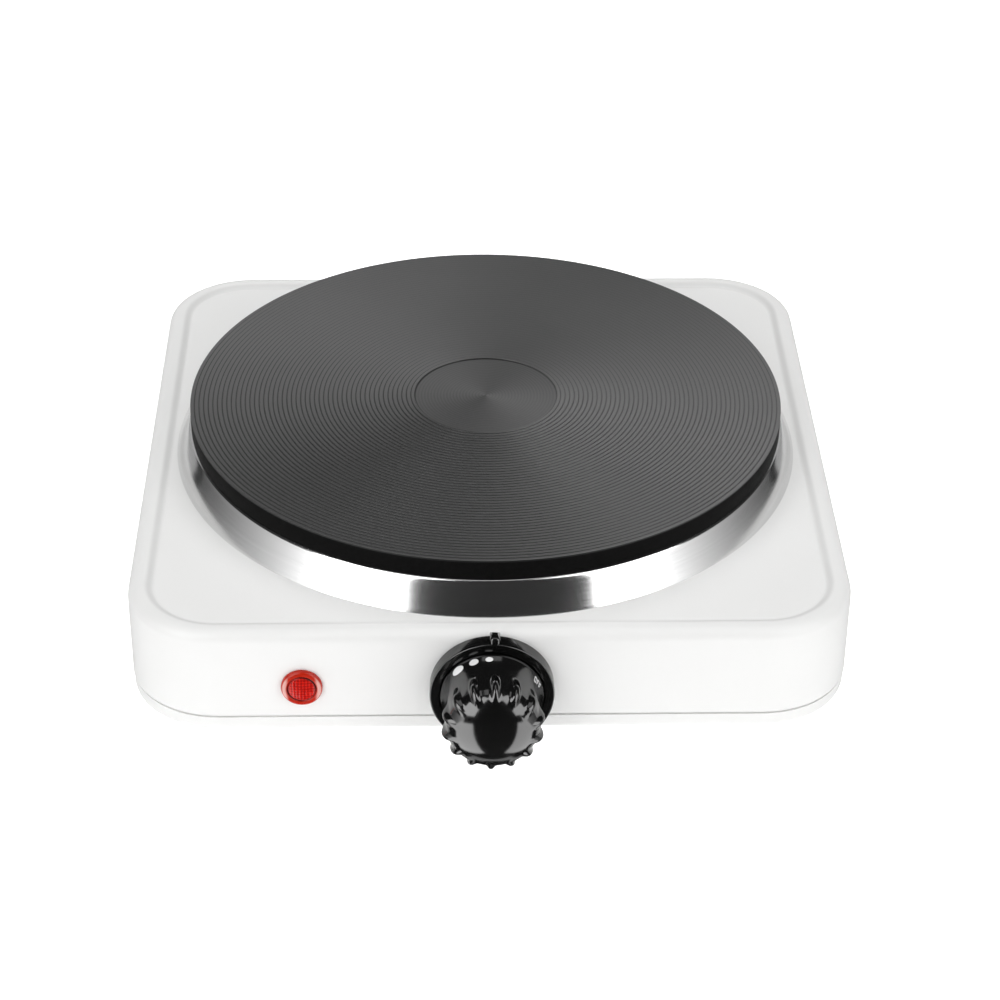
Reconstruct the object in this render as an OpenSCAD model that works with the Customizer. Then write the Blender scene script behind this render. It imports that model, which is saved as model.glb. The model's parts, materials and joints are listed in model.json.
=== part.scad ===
// Single electric hot plate burner: pressed steel housing, ridged cast-iron plate, thermostat with knob.
// Millimetres. +Z is up, the knob faces -Y, and the origin is on the worktop under the plate's axis.

/* [Plate] */
// Diameter of the cast-iron plate
plate_d = 185; // [178:1:188]
// Height of the plate's visible black side
rim_h = 6.7; // [5.5:0.1:8]
// Height of the whole casting
casting_h = 23; // [21:0.5:25]
// How far the plate's rim stands out past the casting below it
rim_overhang = 4.5; // [4:0.5:8]
// Thickness of the casting above the heating coil
casting_top = 7.5; // [6:0.5:8.5]
// Wall of the casting around the heating coil
casting_wall = 5; // [4:0.5:7]
// Diameter of the smooth disc in the middle
centre_disc_d = 44.5; // [36:0.5:52]
// Depth of the smooth disc below the ridges
centre_disc_drop = 0.5; // [0.3:0.1:0.9]
// Distance from one turned ridge to the next
ridge_pitch = 1.44; // [1.3:0.01:1.8]
// Depth of the grooves between ridges
ridge_depth = 0.35; // [0.2:0.05:0.5]
// Plain land outside the last ridge
rim_land = 1.6; // [1.2:0.1:2.4]
// Chamfer on the plate's upper edge
rim_chamfer = 0.5; // [0.3:0.1:0.8]
// Diameter of the middle boss under the casting
boss_d = 24; // [20:1:28]

/* [Spill ring] */
// Height of the stainless ring that lifts the plate off the housing
ring_h = 10; // [8:0.5:12]
// Thickness of the ring's sheet
ring_t = 0.5; // [0.4:0.1:0.6]
// How far the ring's lip stands out past the plate
ring_lip = 0.6; // [0.4:0.1:1]
// How far the ring's wall flares outwards from lip to foot
ring_flare = 3.4; // [0.8:0.1:4]
// Width of the ring's flat flange
ring_flange = 0.9; // [0.6:0.1:3.2]
// Gap between the casting and the ring's upper edge
ring_gap = 0.3; // [0.2:0.05:0.6]

/* [Housing] */
// Flat panel left between the ring's flange and the border, at its narrowest
panel_land = 0.6; // [0.4:0.1:6]
// Outer corner radius of the housing
corner_r = 27; // [24:0.5:32]
// Height of the recessed top panel above the base's lower edge
panel_h = 33.8; // [33:0.2:38]
// Height of the raised border above the panel
border_rise = 1; // [0.6:0.1:1.6]
// Width of the border, from the outer wall to the panel
border_w = 8.2; // [5.4:0.1:9]
// Width of the sloping step from the border down to the panel
crease_w = 3.2; // [1.2:0.1:4]
// Radius of the shoulder from the wall to the border
shoulder_r = 3.4; // [2.6:0.1:3.8]
// Thickness of the housing's steel sheet
sheet_t = 0.8; // [0.7:0.1:1]
// Gap between the casting and the housing's opening
opening_gap = 2; // [1.5:0.1:2.6]
// Depth of the collar turned down round the opening
collar_h = 3; // [2:0.5:4]

/* [Base] */
// Height of the base's edge above the worktop
foot_h = 9; // [7.5:0.5:12]
// Height of the base's visible band
band_h = 5.2; // [4.6:0.1:6]
// How far the base reaches up inside the housing
lap_h = 3; // [2:0.5:3.4]
// Thickness of the base's steel sheet
base_t = 0.8; // [0.7:0.1:1]
// Lower edge radius of the base
base_edge_r = 2; // [1.4:0.1:3]
// How far the base's band stands back from the housing's wall
band_inset = 0.3; // [0.2:0.1:0.5]
// Gap of the seam between housing and base
seam_gap = 0.25; // [0.2:0.05:0.4]
// Gap between the lapped walls
lap_gap = 0.15; // [0.1:0.05:0.2]
// Distance of a foot's axis from the housing's wall
foot_inset = 27.2; // [24:0.2:30]
// Diameter of a foot at its top
foot_d = 16; // [14:0.5:18]
// Diameter of a foot at the worktop
foot_low_d = 14; // [12.5:0.5:15]
// Number of cooling slots in the base
vent_count = 9; // [5:2:11]
// Length of a cooling slot
vent_l = 44; // [30:1:50]
// Width of a cooling slot
vent_w = 3; // [2:0.5:3.5]
// Distance between cooling slots
vent_pitch = 9; // [7:0.5:10]

/* [Fixings] */
// Diameter of the foot screws
foot_screw_d = 4; // [3.5:0.5:4]
// Diameter of the corner posts
post_d = 8; // [7:0.5:9]
// How far a foot screw goes into its corner post
screw_in_post = 11.6; // [8:0.2:16]
// Diameter of the stud that pulls the plate down
stud_d = 6; // [5:1:6]
// Width of the clamp bridge
bridge_w = 16; // [14:1:20]
// Thickness of the clamp bridge
bridge_t = 2; // [1.5:0.5:2.5]
// Clearance round a screw or stud in its hole
screw_gap = 0.25; // [0.2:0.05:0.4]
// Clearance of a screw in its own thread
thread_gap = 0.05; // [0.03:0.01:0.08]

/* [Heater] */
// Outer diameter of the coiled heating wire
coil_d = 5; // [4:0.5:5.5]
// Radius of the innermost turn of the heating coil
coil_first_r = 30; // [27:1:33]
// Distance between turns of the heating coil
coil_pitch = 18; // [15:0.5:20]
// Number of turns of the heating coil
coil_turns = 3; // [2:1:3]
// Distance of the two plate terminals from each other
terminal_gap = 26; // [20:1:30]
// Diameter of a plate terminal's pin
terminal_d = 3; // [2.5:0.5:3.5]
// Diameter of the ceramic bead round a terminal
bead_d = 8; // [7:0.5:9]
// Diameter of the heat shield under the plate
shield_d = 100; // [90:2:104]

/* [Knob and bezel] */
// Height of the knob's axis above the base's lower edge
knob_h = 15.9; // [15:0.1:16.5]
// Thickness of the fixed bezel's ring, round the knob's skirt
bezel_wall = 2.6; // [1.8:0.1:3.4]
// Depth of the bezel's ring
bezel_depth = 4.5; // [3.4:0.1:4.8]
// Thickness of the bezel's back disc
bezel_back = 1.2; // [1:0.1:1.4]
// Width of the pointer on the bezel
pointer_w = 3; // [2.4:0.1:4]
// How far the pointer stands out past the bezel
pointer_rise = 1.9; // [1.4:0.1:2.4]
// Angle of the pointer clockwise from the top
pointer_turn = 2.5; // [0:0.5:5]
// Diameter of the knob's skirt
skirt_d = 30; // [29.2:0.1:30.4]
// Diameter of the knob's grip between its ribs
grip_d = 26.4; // [25.6:0.1:27]
// Distance from the housing's wall to the middle of the knob's face
knob_depth = 25.8; // [25:0.1:30]
// Rise of the knob's domed face
dome_h = 3.6; // [2:0.1:3.8]
// Number of ribs round the grip
rib_count = 14; // [10:1:16]
// Diameter of a rib
rib_d = 2.6; // [2.2:0.1:3]
// Angle of the first rib above the level line, seen from the front
first_rib = 10.5; // [0:0.5:25]
// Gap between the knob's skirt and the bezel
skirt_gap = 0.4; // [0.35:0.05:0.6]
// Angle that the knob has turned from OFF, as it stands here
rest_turn = 62; // [40:1:100]
// Whole turn of the knob from OFF to its highest setting
full_turn = 270; // [250:5:280]

/* [Thermostat] */
// Diameter of the thermostat's shaft
shaft_d = 6; // [5.6:0.1:6.4]
// Radial running clearance of the shaft
shaft_gap = 0.05; // [0.03:0.01:0.08]
// Outer diameter of the threaded bush
bush_d = 10; // [9:0.5:10.5]
// Size across the flats of the bush's nut
nut_af = 13; // [12.5:0.5:14]
// Height of the thermostat's front plate
frame_h = 13.4; // [12.6:0.2:13.6]
// Thickness of the thermostat's front plate
frame_t = 1.5; // [1.2:0.1:1.8]
// Distance from the shaft to the insulator stack
stack_x = 17; // [16.6:0.2:20]
// Diameter of the ceramic insulators
stack_d = 11; // [10:0.5:11.4]
// Width of the contact blades
blade_w = 6; // [5:0.5:7]
// Advance of the adjusting pin for each turn of the knob
screw_lead = 0.5; // [0.4:0.05:0.6]
// Diameter of the ceramic adjusting pin
pin_d = 2.5; // [2:0.1:2.8]

/* [Lamp] */
// Distance of the pilot lamp from the knob's axis
lamp_x = 54.8; // [48:0.1:66]
// Height of the pilot lamp above the knob's axis
lamp_rise = 0.4; // [0:0.1:1]
// Diameter of the lamp's lens
lamp_d = 12; // [11.8:0.1:14]
// Diameter of the lamp's barrel
lamp_barrel_d = 10; // [9:0.1:10.6]

/* [Mains inlet] */
// Distance of the cord gland from the middle of the rear wall
gland_x = 40; // [36:1:50]
// Height of the cord gland's axis above the base's lower edge
gland_h = 17; // [16.4:0.2:19]
// Bore of the gland, for a round three-core cord
gland_bore = 7.6; // [6.8:0.1:8.2]
// Outer diameter of the gland's flange
gland_d = 15; // [14.4:0.1:16]
// How far the gland stands out from the rear wall
gland_out = 7; // [5:0.5:9]

/* [Hidden] */
$fn = 64;

// Heights, from the worktop up
z_base = foot_h;
z_floor = z_base + base_t;
z_seam = z_base + band_h;
z_panel = z_base + panel_h;
z_under = z_panel - sheet_t;
z_crest = z_panel + border_rise;
z_rim = z_panel + ring_h;
z_top = z_rim + rim_h;
z_casting = z_top - casting_h;
z_roof = z_top - casting_top;
z_knob = z_base + knob_h;
z_lamp = z_knob + lamp_rise;
z_gland = z_base + gland_h;
// Radii about the plate's axis
plate_r = plate_d / 2;
casting_r = plate_r - rim_overhang;
opening_r = casting_r + opening_gap;
boss_r = boss_d / 2;
ring_top_r = plate_r + ring_lip;
ring_foot_r = ring_top_r + ring_flare;
wall = ring_foot_r + ring_flange + panel_land + border_w;
body_w = 2 * wall;
foot_xy = wall - foot_inset;
// Parts stacked on the stud under the casting
cover_t = 0.8;
washer_t = 1.2;
washer_r = stud_d;
nut_h = 5;
stud_nut_af = 10;
shield_t = 0.5;
z_cover = z_casting - cover_t;
z_cover_nut = z_cover - washer_t - nut_h;
z_bridge = z_cover_nut - shield_t;
z_bridge_low = z_bridge - bridge_t;
z_bridge_nut = z_bridge_low - washer_t - nut_h;
stud_out = 1.6;
z_stud = z_bridge_nut - stud_out;
stud_in = 3;
// Coil and terminals: the outer turn of the coil ends at the two terminals behind the plate's axis
coil_r = coil_d / 2;
coil_last_r = coil_first_r + (coil_turns - 1) * coil_pitch;
z_coil = (z_casting + z_roof) / 2;
fill_gap = 1;
terminal_x = terminal_gap / 2;
terminal_y = sqrt(coil_last_r * coil_last_r - terminal_x * terminal_x);
bead_out = 5;
tab_drop = 10;
pin_drop = 1;
z_bead = z_cover - bead_out;
z_tab = z_bead - tab_drop;
tab_w = 6.3;
tab_t = 0.8;
// Distances outwards from the front wall's outer face, used by everything on the knob's axis
frame_back = -sheet_t - frame_t;
bush_flange = 1.5;
bush_back = frame_back - bush_flange;
bush_nut_h = 2.5;
nut_front = bezel_back + bush_nut_h;
bush_front = nut_front + 0.5;
running = 0.3;
arm_front = bush_back - running;
arm_t = 1;
shaft_back = arm_front - arm_t - 0.5;
bush_r = bush_d / 2;
shaft_r = shaft_d / 2;
shaft_flat = shaft_r - 1.4;
// Insulator stack: an insulator, then a blade, four times over, seen from the front plate inwards
first_insulator = 4.5;
insulator_t = 2.5;
blade_t = 0.5;
bimetal_front = frame_back - first_insulator;
blade_front = bimetal_front - blade_t - insulator_t;
fixed_front = blade_front - blade_t - insulator_t;
stack_back = fixed_front - blade_t - insulator_t;
rivet_r = 1.5;
rivet_head = 1.2;
blade_pivot_x = stack_x - stack_d / 2 - 1;
blade_tip_x = -12;
contact_x = -9;
contact_r = 2;
contact_lever = (blade_pivot_x - contact_x) / blade_pivot_x;
contact_free = 0.42;
contact_gap = contact_free + contact_lever * screw_lead * (full_turn - rest_turn) / 360;
contact_t = (insulator_t - contact_gap) / 2;
tab_l = 9;
tab_x = stack_x + stack_d / 2;
// Stops: the arm on the shaft meets a peg on the front plate at both ends of the turn
peg_r = 1.5;
peg_x = -8;
arm_r = 9;
arm_hub_r = 4.6;
peg_half = asin(peg_r / -peg_x);
stop_free = 2.5;
arm_half = (360 - full_turn) / 2 - peg_half - stop_free;
arm_angle = 180 - (360 - full_turn) / 2 - rest_turn;
// Knob
knob_wall = 2;
skirt_back = bezel_back + 1.4;
skirt_front = bezel_depth + 2.4;
grip_start = skirt_front + 3.2;
grip_end = knob_depth - dome_h;
hub_r = shaft_r + 2.6;
hub_back = bush_front + 0.5;
shaft_front = grip_end - 6;
clip_t = 0.5;
clip_l = 6;
// Pilot lamp
lamp_r = lamp_barrel_d / 2;
lamp_flange_t = 1.6;
lens_back = -6;
holder_back = -16;
bulb_r = 2.6;
lamp_pin_x = 1.5;
resistor_gap = 4;
resistor_l = 7;
// Mains inlet
gland_r = gland_d / 2;
gland_barrel_r = gland_r - 1.5;
gland_nut_t = 4;
block_l = 34;
block_w = 16;
block_h = 14;
block_inset = 28;
block_y = wall - block_inset;
pole_pitch = 10;
wire_hole_r = 2;
clamp_screw_r = 1.75;
block_screw_r = 1.5;
block_head_r = 2.8;
z_wire = z_floor + 6;
earth_x = -66;
earth_y = 46;
earth_r = 2;
earth_nut_h = 3.8;
tongue_l = 8;
tongue_w = 3;
tongue_r = 4;
tongue_t = 1.2;
z_tongue = z_floor + tongue_t;
foot_head_r = 3.6;
foot_head_h = 2.4;
foot_head_z = 3;
// Leads: radius over the sleeve, radius of the lamp's thin leads, rings in each span and sides of a ring
lead_r = 1.2;
thin_r = 0.6;
lead_steps = 5;
lead_sides = 8;

// Flat rounded square, centred
module rounded_square(w, r) {
    square([w, w - 2 * r], center = true);
    square([w - 2 * r, w], center = true);
    for (x = [-1, 1], y = [-1, 1])
        translate([x * (w / 2 - r), y * (w / 2 - r)]) circle(r);
}

// Rounded square slab from one height to another
module slab(w, r, low, high) {
    translate([0, 0, low]) linear_extrude(high - low) rounded_square(w, r);
}

// Takes a flat profile round the housing. The profile's x starts at the corner's centre, and its y is height
module round_the_housing() {
    straight = body_w - 2 * corner_r;
    for (a = [0 : 90 : 270]) rotate(a) translate([straight / 2, 0, 0]) {
        rotate([90, 0, 0]) linear_extrude(straight, center = true) children();
        translate([0, straight / 2, 0]) rotate_extrude(angle = 90) children();
    }
}

// Quarter of a flat ring, in the quadrant of +x and +y
module quarter_ring(outer, thick) {
    intersection() {
        difference() {
            circle(outer);
            circle(outer - thick);
        }
        square(outer + 1);
    }
}

// Box between two corners
module box(low, high) {
    translate(low) cube(high - low);
}

// Disc or rod along Z between two heights
module rod(r, low, high) {
    translate([0, 0, low]) cylinder(r = r, h = high - low);
}

// Hexagon prism along Z
module hex(af, low, high) {
    translate([0, 0, low]) cylinder(d = af / cos(30), h = high - low, $fn = 6);
}

// Flat ring along Z
module washer(outer, inner, low, high) {
    difference() {
        rod(outer, low, high);
        rod(inner, low - 1, high + 1);
    }
}

// Places its children on the front wall at x and z, with their +Z outwards and their +Y upwards
module on_front(x = 0, z = z_knob) {
    translate([x, -wall, z]) rotate([90, 0, 0]) children();
}

// Places its children on the rear wall at x and at the gland's height, with their +Z outwards
module on_rear(x = 0) {
    translate([x, wall, z_gland]) rotate([90, 0, 180]) children();
}

// Smooth curve through the points p: its place and its direction at t, from 0 to 1, after point i
function curve_terms(p, i) =
    let (a = p[max(i - 1, 0)], b = p[i], c = p[i + 1], d = p[min(i + 2, len(p) - 1)])
    [b, (c - a) / 2, a - 2.5 * b + 2 * c - d / 2, (3 * b - a - 3 * c + d) / 2];
function curve_place(k, t) = k[0] + k[1] * t + k[2] * t * t + k[3] * t * t * t;
function curve_way(k, t) = k[1] + 2 * t * k[2] + 3 * t * t * k[3];
function unit(v) = v / norm(v);
function ring_points(centre, way, r) =
    let (side = unit(cross(way, [0.31, 0.27, 0.91])), up = cross(unit(way), side))
    [for (j = [0 : lead_sides - 1]) let (a = 360 * j / lead_sides)
        centre + r * (cos(a) * side + sin(a) * up)];

// Insulated lead along a list of points
module lead(route, r = lead_r) {
    n = lead_sides;
    spans = len(route) - 1;
    last = spans * lead_steps;
    points = [for (i = [0 : last])
        let (span = min(floor(i / lead_steps), spans - 1), t = i / lead_steps - span)
        let (k = curve_terms(route, span))
        each ring_points(curve_place(k, t), curve_way(k, t), r)];
    sides = [for (i = [0 : last - 1], j = [0 : n - 1])
        let (a = i * n + j, b = i * n + (j + 1) % n)
        each [[a, b + n, b], [a, a + n, b + n]]];
    start = [for (j = [0 : n - 1]) j];
    finish = [for (j = [n - 1 : -1 : 0]) last * n + j];
    polyhedron(points, concat([start], sides, [finish]), convexity = 6);
}

// Housing: wall, shoulder, raised border and step, swept round the panel
module housing_profile() {
    r = corner_r;
    translate([r - sheet_t, z_seam]) square([sheet_t, z_crest - shoulder_r - z_seam]);
    translate([r - shoulder_r, z_crest - shoulder_r]) quarter_ring(shoulder_r, sheet_t);
    polygon([
        [r - shoulder_r, z_crest],
        [r - border_w + crease_w, z_crest],
        [r - border_w, z_panel],
        [r - border_w, z_under],
        [r - border_w + crease_w, z_crest - sheet_t],
        [r - shoulder_r, z_crest - sheet_t]]);
}

module housing() color("white") difference() {
    union() {
        round_the_housing() housing_profile();
        difference() {
            slab(body_w - 2 * border_w, corner_r - border_w, z_under, z_panel);
            rod(opening_r, z_under - 1, z_panel + 1);
        }
        washer(opening_r + sheet_t, opening_r, z_under - collar_h, z_under);
    }
    on_front() rod(bush_r + screw_gap, -2 * sheet_t, 1);
    on_front() translate([0, bush_r + 6]) rod(1 + screw_gap / 2, -2 * sheet_t, 1);
    on_front(-lamp_x, z_lamp) rod(lamp_r + screw_gap / 2, -2 * sheet_t, 1);
    on_rear(-gland_x) rod(gland_barrel_r + screw_gap, -2 * sheet_t, 1);
}

// Base pan: floor, rounded edge, visible band, ledge and the wall that laps inside the housing
module base_profile() {
    out = corner_r - band_inset;
    in = corner_r - sheet_t - lap_gap;
    ledge = z_seam - seam_gap;
    translate([out - base_edge_r, z_base + base_edge_r]) mirror([0, 1]) quarter_ring(base_edge_r, base_t);
    translate([out - base_t, z_base + base_edge_r]) square([base_t, ledge - z_base - base_edge_r]);
    translate([in - base_t, ledge - base_t]) square([out - in + base_t, base_t]);
    translate([in - base_t, ledge - base_t]) square([base_t, seam_gap + lap_h + base_t]);
}

module base_plate() color("white") difference() {
    union() {
        round_the_housing() base_profile();
        floor_in = band_inset + base_edge_r;
        slab(body_w - 2 * floor_in, corner_r - floor_in, z_base, z_floor);
    }
    for (x = [-foot_xy, foot_xy], y = [-foot_xy, foot_xy])
        translate([x, y]) rod(foot_screw_d / 2 + screw_gap, z_base - 1, z_floor + 1);
    vent_end = (vent_l - vent_w) / 2;
    for (i = [0 : vent_count - 1]) translate([(i - (vent_count - 1) / 2) * vent_pitch, 0]) {
        box([-vent_w / 2, -vent_end, z_base - 1], [vent_w / 2, vent_end, z_floor + 1]);
        for (y = [-vent_end, vent_end]) translate([0, y]) rod(vent_w / 2, z_base - 1, z_floor + 1);
    }
    for (x = [-1, 1])
        translate([-gland_x + x * pole_pitch / 2, block_y])
            rod(block_screw_r + screw_gap, z_base - 1, z_floor + 1);
    translate([earth_x, earth_y]) rod(earth_r + screw_gap, z_base - 1, z_floor + 1);
}

module foot(x, y) {
    color("dimgray") translate([x * foot_xy, y * foot_xy]) difference() {
        union() {
            translate([0, 0, 1]) cylinder(d1 = foot_low_d, d2 = foot_d, h = foot_h - 1);
            cylinder(d1 = foot_low_d - 1.6, d2 = foot_low_d, h = 1);
        }
        rod(foot_head_r + screw_gap, -1, foot_head_z + foot_head_h);
        rod(foot_screw_d / 2 + screw_gap, 0, foot_h + 1);
    }
}

module foot_front_left() foot(-1, -1);
module foot_front_right() foot(1, -1);
module foot_rear_left() foot(-1, 1);
module foot_rear_right() foot(1, 1);

z_screw_top = z_floor + screw_in_post;

module foot_screws() color("silver")
    for (x = [-foot_xy, foot_xy], y = [-foot_xy, foot_xy]) translate([x, y]) difference() {
        union() {
            rod(foot_head_r, foot_head_z, foot_head_z + foot_head_h);
            rod(foot_screw_d / 2, foot_head_z, z_screw_top);
        }
        for (a = [0, 90]) rotate(a) translate([0, 0, foot_head_z])
            cube([4, 0.9, 2.4], center = true);
    }

module corner_posts() color("lightgray")
    for (x = [-foot_xy, foot_xy], y = [-foot_xy, foot_xy]) translate([x, y])
        corner_post();

module corner_post() difference() {
    rod(post_d / 2, z_floor, z_under);
    rod(foot_screw_d / 2 + thread_gap, z_floor - 1, z_screw_top + 1.4);
}

// Ridged face of the casting, as flat points from the smooth disc outwards
disc_r = centre_disc_d / 2;
ridge_first = disc_r + 0.6;
ridge_count = floor((plate_r - rim_land - ridge_first) / ridge_pitch);
groove_points = [for (i = [0 : ridge_count - 1]) let (r = ridge_first + i * ridge_pitch) each [
    [r, z_top],
    [r + 0.2 * ridge_pitch, z_top - ridge_depth],
    [r + 0.55 * ridge_pitch, z_top - ridge_depth],
    [r + 0.75 * ridge_pitch, z_top]]];

module hot_plate() color("dimgray") rotate_extrude($fn = 128) polygon(concat(
    [[0, z_top - centre_disc_drop], [disc_r, z_top - centre_disc_drop], [disc_r + 0.3, z_top]],
    groove_points,
    [[plate_r - rim_chamfer, z_top],
        [plate_r, z_top - rim_chamfer],
        [plate_r, z_rim],
        [casting_r, z_rim],
        [casting_r, z_casting],
        [casting_r - casting_wall, z_casting],
        [casting_r - casting_wall, z_roof],
        [boss_r, z_roof],
        [boss_r, z_casting],
        [stud_d / 2 + thread_gap, z_casting],
        [stud_d / 2 + thread_gap, z_roof + stud_in],
        [0, z_roof + stud_in]]));

// Coiled resistance wire, drawn as turns of its outer size
module coil_turns_of(r) {
    for (i = [0 : coil_turns - 1]) rotate_extrude()
        translate([coil_first_r + i * coil_pitch, z_coil]) circle(r);
}

module heating_coil() color("sienna") coil_turns_of(coil_r);

module insulation() color("oldlace") difference() {
    washer(casting_r - casting_wall, boss_r, z_casting + fill_gap, z_roof);
    coil_turns_of(coil_r + thread_gap);
    for (x = [-1, 1]) translate([x * terminal_x, terminal_y])
        rod(terminal_d / 2 + thread_gap, z_casting, z_coil);
}

module plate_cover() color("lightgray") difference() {
    rod(casting_r - 1, z_cover, z_casting);
    rod(stud_d / 2 + screw_gap, z_cover - 1, z_casting + 1);
    for (x = [-1, 1]) translate([x * terminal_x, terminal_y])
        rod(bead_d / 2 + screw_gap, z_cover - 1, z_casting + 1);
}

// Stainless spill ring: top under the plate's rim, flared wall and flat flange on the panel
ring_in_r = casting_r + ring_gap;

module spill_ring() color("silver") rotate_extrude($fn = 128) polygon([
    [ring_in_r, z_rim],
    [ring_top_r - 0.3, z_rim],
    [ring_top_r, z_rim - 0.3],
    [ring_foot_r, z_panel + ring_t],
    [ring_foot_r + ring_flange - 0.2, z_panel + ring_t],
    [ring_foot_r + ring_flange, z_panel + ring_t - 0.2],
    [ring_foot_r + ring_flange, z_panel],
    [ring_foot_r - ring_t, z_panel],
    [ring_top_r - ring_t, z_rim - ring_t],
    [ring_in_r, z_rim - ring_t]]);

module centre_stud() color("silver") rod(stud_d / 2, z_stud, z_roof + stud_in - thread_gap);
module cover_washer() color("silver") washer(washer_r, stud_d / 2 + screw_gap, z_cover - washer_t, z_cover);

module stud_nut(low) color("silver") difference() {
    hex(stud_nut_af, low, low + nut_h);
    rod(stud_d / 2 + thread_gap, low - 1, low + nut_h + 1);
}

module cover_nut() stud_nut(z_cover_nut);
module heat_shield() color("gainsboro")
    washer(shield_d / 2, stud_d / 2 + screw_gap, z_bridge, z_bridge + shield_t);

// Clamp bridge: a hat-shaped bar whose ends press up against the panel on both sides of the opening
bridge_leg_x = opening_r + sheet_t + 1.6;
bridge_tab_l = 6;
module clamp_bridge() color("lightgray") difference() {
    bridge_end_x = bridge_leg_x + bridge_t;
    for (a = [0, 180]) rotate(a) {
        box([0, -bridge_w / 2, z_bridge_low], [bridge_end_x, bridge_w / 2, z_bridge]);
        box([bridge_leg_x, -bridge_w / 2, z_bridge_low], [bridge_end_x, bridge_w / 2, z_under]);
        box([bridge_leg_x, -bridge_w / 2, z_under - bridge_t],
            [bridge_leg_x + bridge_tab_l, bridge_w / 2, z_under]);
    }
    rod(stud_d / 2 + screw_gap, z_bridge_low - 1, z_bridge + 1);
}

module bridge_washer() color("silver")
    washer(washer_r, stud_d / 2 + screw_gap, z_bridge_low - washer_t, z_bridge_low);
module bridge_nut() stud_nut(z_bridge_nut);

// Plate terminals: pins up to the coil, each with a flat tab below
module plate_terminals() color("silver") for (x = [-1, 1]) translate([x * terminal_x, terminal_y]) {
    rod(terminal_d / 2, z_bead - pin_drop, z_coil - coil_r - thread_gap);
    box([-tab_w / 2, -tab_t / 2, z_tab], [tab_w / 2, tab_t / 2, z_bead - pin_drop]);
}

module terminal_beads() color("ivory") for (x = [-1, 1]) translate([x * terminal_x, terminal_y])
    washer(bead_d / 2, terminal_d / 2 + thread_gap, z_bead, z_casting + fill_gap);

// Thermal fuse held against the cover, in front of the stud
fuse_x = 32;
fuse_y = -56;
fuse_r = 2;
fuse_l = 14;
fuse_wire = 3;
z_fuse = z_cover - fuse_r - 0.2;
module on_fuse() {
    translate([fuse_x, fuse_y, z_fuse]) rotate([0, 90, 0]) children();
}

module thermal_fuse() color("silver") on_fuse() {
    rod(fuse_r, -fuse_l / 2, fuse_l / 2);
    rod(0.6, -fuse_l / 2 - fuse_wire, fuse_l / 2 + fuse_wire);
}

module fuse_clip() color("silver") difference() {
    union() {
        on_fuse() rod(fuse_r + 0.7, -3, 3);
        translate([fuse_x - 3, fuse_y - 8, z_cover - 0.5]) cube([6, 16, 0.5]);
    }
    on_fuse() rod(fuse_r + 0.1, -4, 4);
    box([fuse_x - 4, fuse_y - 9, z_cover], [fuse_x + 4, fuse_y + 9, z_cover + 9]);
}

// Fixed bezel with its pointer, pressed against the wall by the bush's nut
module bezel() color("black") on_front() {
    in_r = skirt_d / 2 + skirt_gap;
    out_r = in_r + bezel_wall;
    rotate_extrude() polygon([
        [bush_r + screw_gap, 0],
        [out_r, 0],
        [out_r, bezel_depth - 0.5],
        [out_r - 0.5, bezel_depth],
        [in_r + 0.2, bezel_depth],
        [in_r, bezel_depth - 0.2],
        [in_r, bezel_back],
        [bush_r + screw_gap, bezel_back]]);
    rotate(-pointer_turn) difference() {
        box([-pointer_w / 2, in_r + 0.6, 0.2], [pointer_w / 2, out_r + pointer_rise, bezel_depth - 0.2]);
        for (x = [-1, 1]) translate([x * pointer_w / 2, out_r + pointer_rise]) rotate(45)
            cube([0.8, 0.8, 3 * bezel_depth], center = true);
    }
    translate([0, bush_r + 6]) rod(1, -sheet_t - 0.8, 0.5);
}

module bush_nut() color("silver") on_front() difference() {
    hex(nut_af, bezel_back, nut_front);
    rod(bush_r + thread_gap, bezel_back - 1, nut_front + 1);
}

// Thermostat: a front plate with a threaded bush, and a stack of insulators and blades beside the shaft
plate_left = 13;
plate_right = stack_x + stack_d / 2;
module thermostat_frame() color("lightgray") on_front() difference() {
    union() {
        box([-plate_left, -frame_h / 2, frame_back], [plate_right, frame_h / 2, -sheet_t]);
        translate([peg_x, 0]) rod(peg_r, arm_front - arm_t - 0.4, -sheet_t);
    }
    rod(bush_r + thread_gap, frame_back - 1, 0);
    translate([stack_x, 0]) rod(rivet_r + thread_gap, frame_back - 1, 0);
}

module thermostat_bush() color("goldenrod") on_front() difference() {
    union() {
        rod(bush_r + 0.6, bush_back, frame_back);
        rod(bush_r, bush_back, bush_front);
    }
    rod(shaft_r + shaft_gap, bush_back - 1, bush_front + 1);
}

module on_stack() {
    on_front() translate([stack_x, 0]) children();
}

module stack_insulators() color("ivory") on_stack() {
    hole = rivet_r + thread_gap;
    washer(stack_d / 2, hole, bimetal_front, frame_back);
    washer(stack_d / 2, hole, blade_front, bimetal_front - blade_t);
    washer(stack_d / 2, hole, fixed_front, blade_front - blade_t);
    washer(stack_d / 2, hole, stack_back, fixed_front - blade_t);
}

module stack_rivet() color("silver") on_stack() {
    rod(rivet_r, stack_back, -sheet_t);
    rod(rivet_r + 1.5, stack_back - rivet_head, stack_back);
}

// Blade from x0 to x1 with the rivet's hole, its front at the given depth
module blade(x0, x1, front, w = blade_w) {
    difference() {
        box([x0, -w / 2, front - blade_t], [x1, w / 2, front]);
        translate([stack_x, 0]) rod(rivet_r + thread_gap, front - blade_t - 1, front + 1);
    }
}

module bimetal_strip() color("tan") on_front() difference() {
    blade(blade_tip_x, tab_x - 1, bimetal_front);
    rod(pin_d / 2 + 0.4, bimetal_front - 2, bimetal_front + 1);
}

module blade_root() color("goldenrod") on_front()
    blade(blade_pivot_x + running, tab_x + tab_l, blade_front);

module contact_blade() color("goldenrod") on_front() {
    box([blade_tip_x, -blade_w / 2, blade_front - blade_t], [blade_pivot_x, blade_w / 2, blade_front]);
    translate([contact_x, 0]) rod(contact_r, blade_front - blade_t - contact_t, blade_front - blade_t);
}

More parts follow.
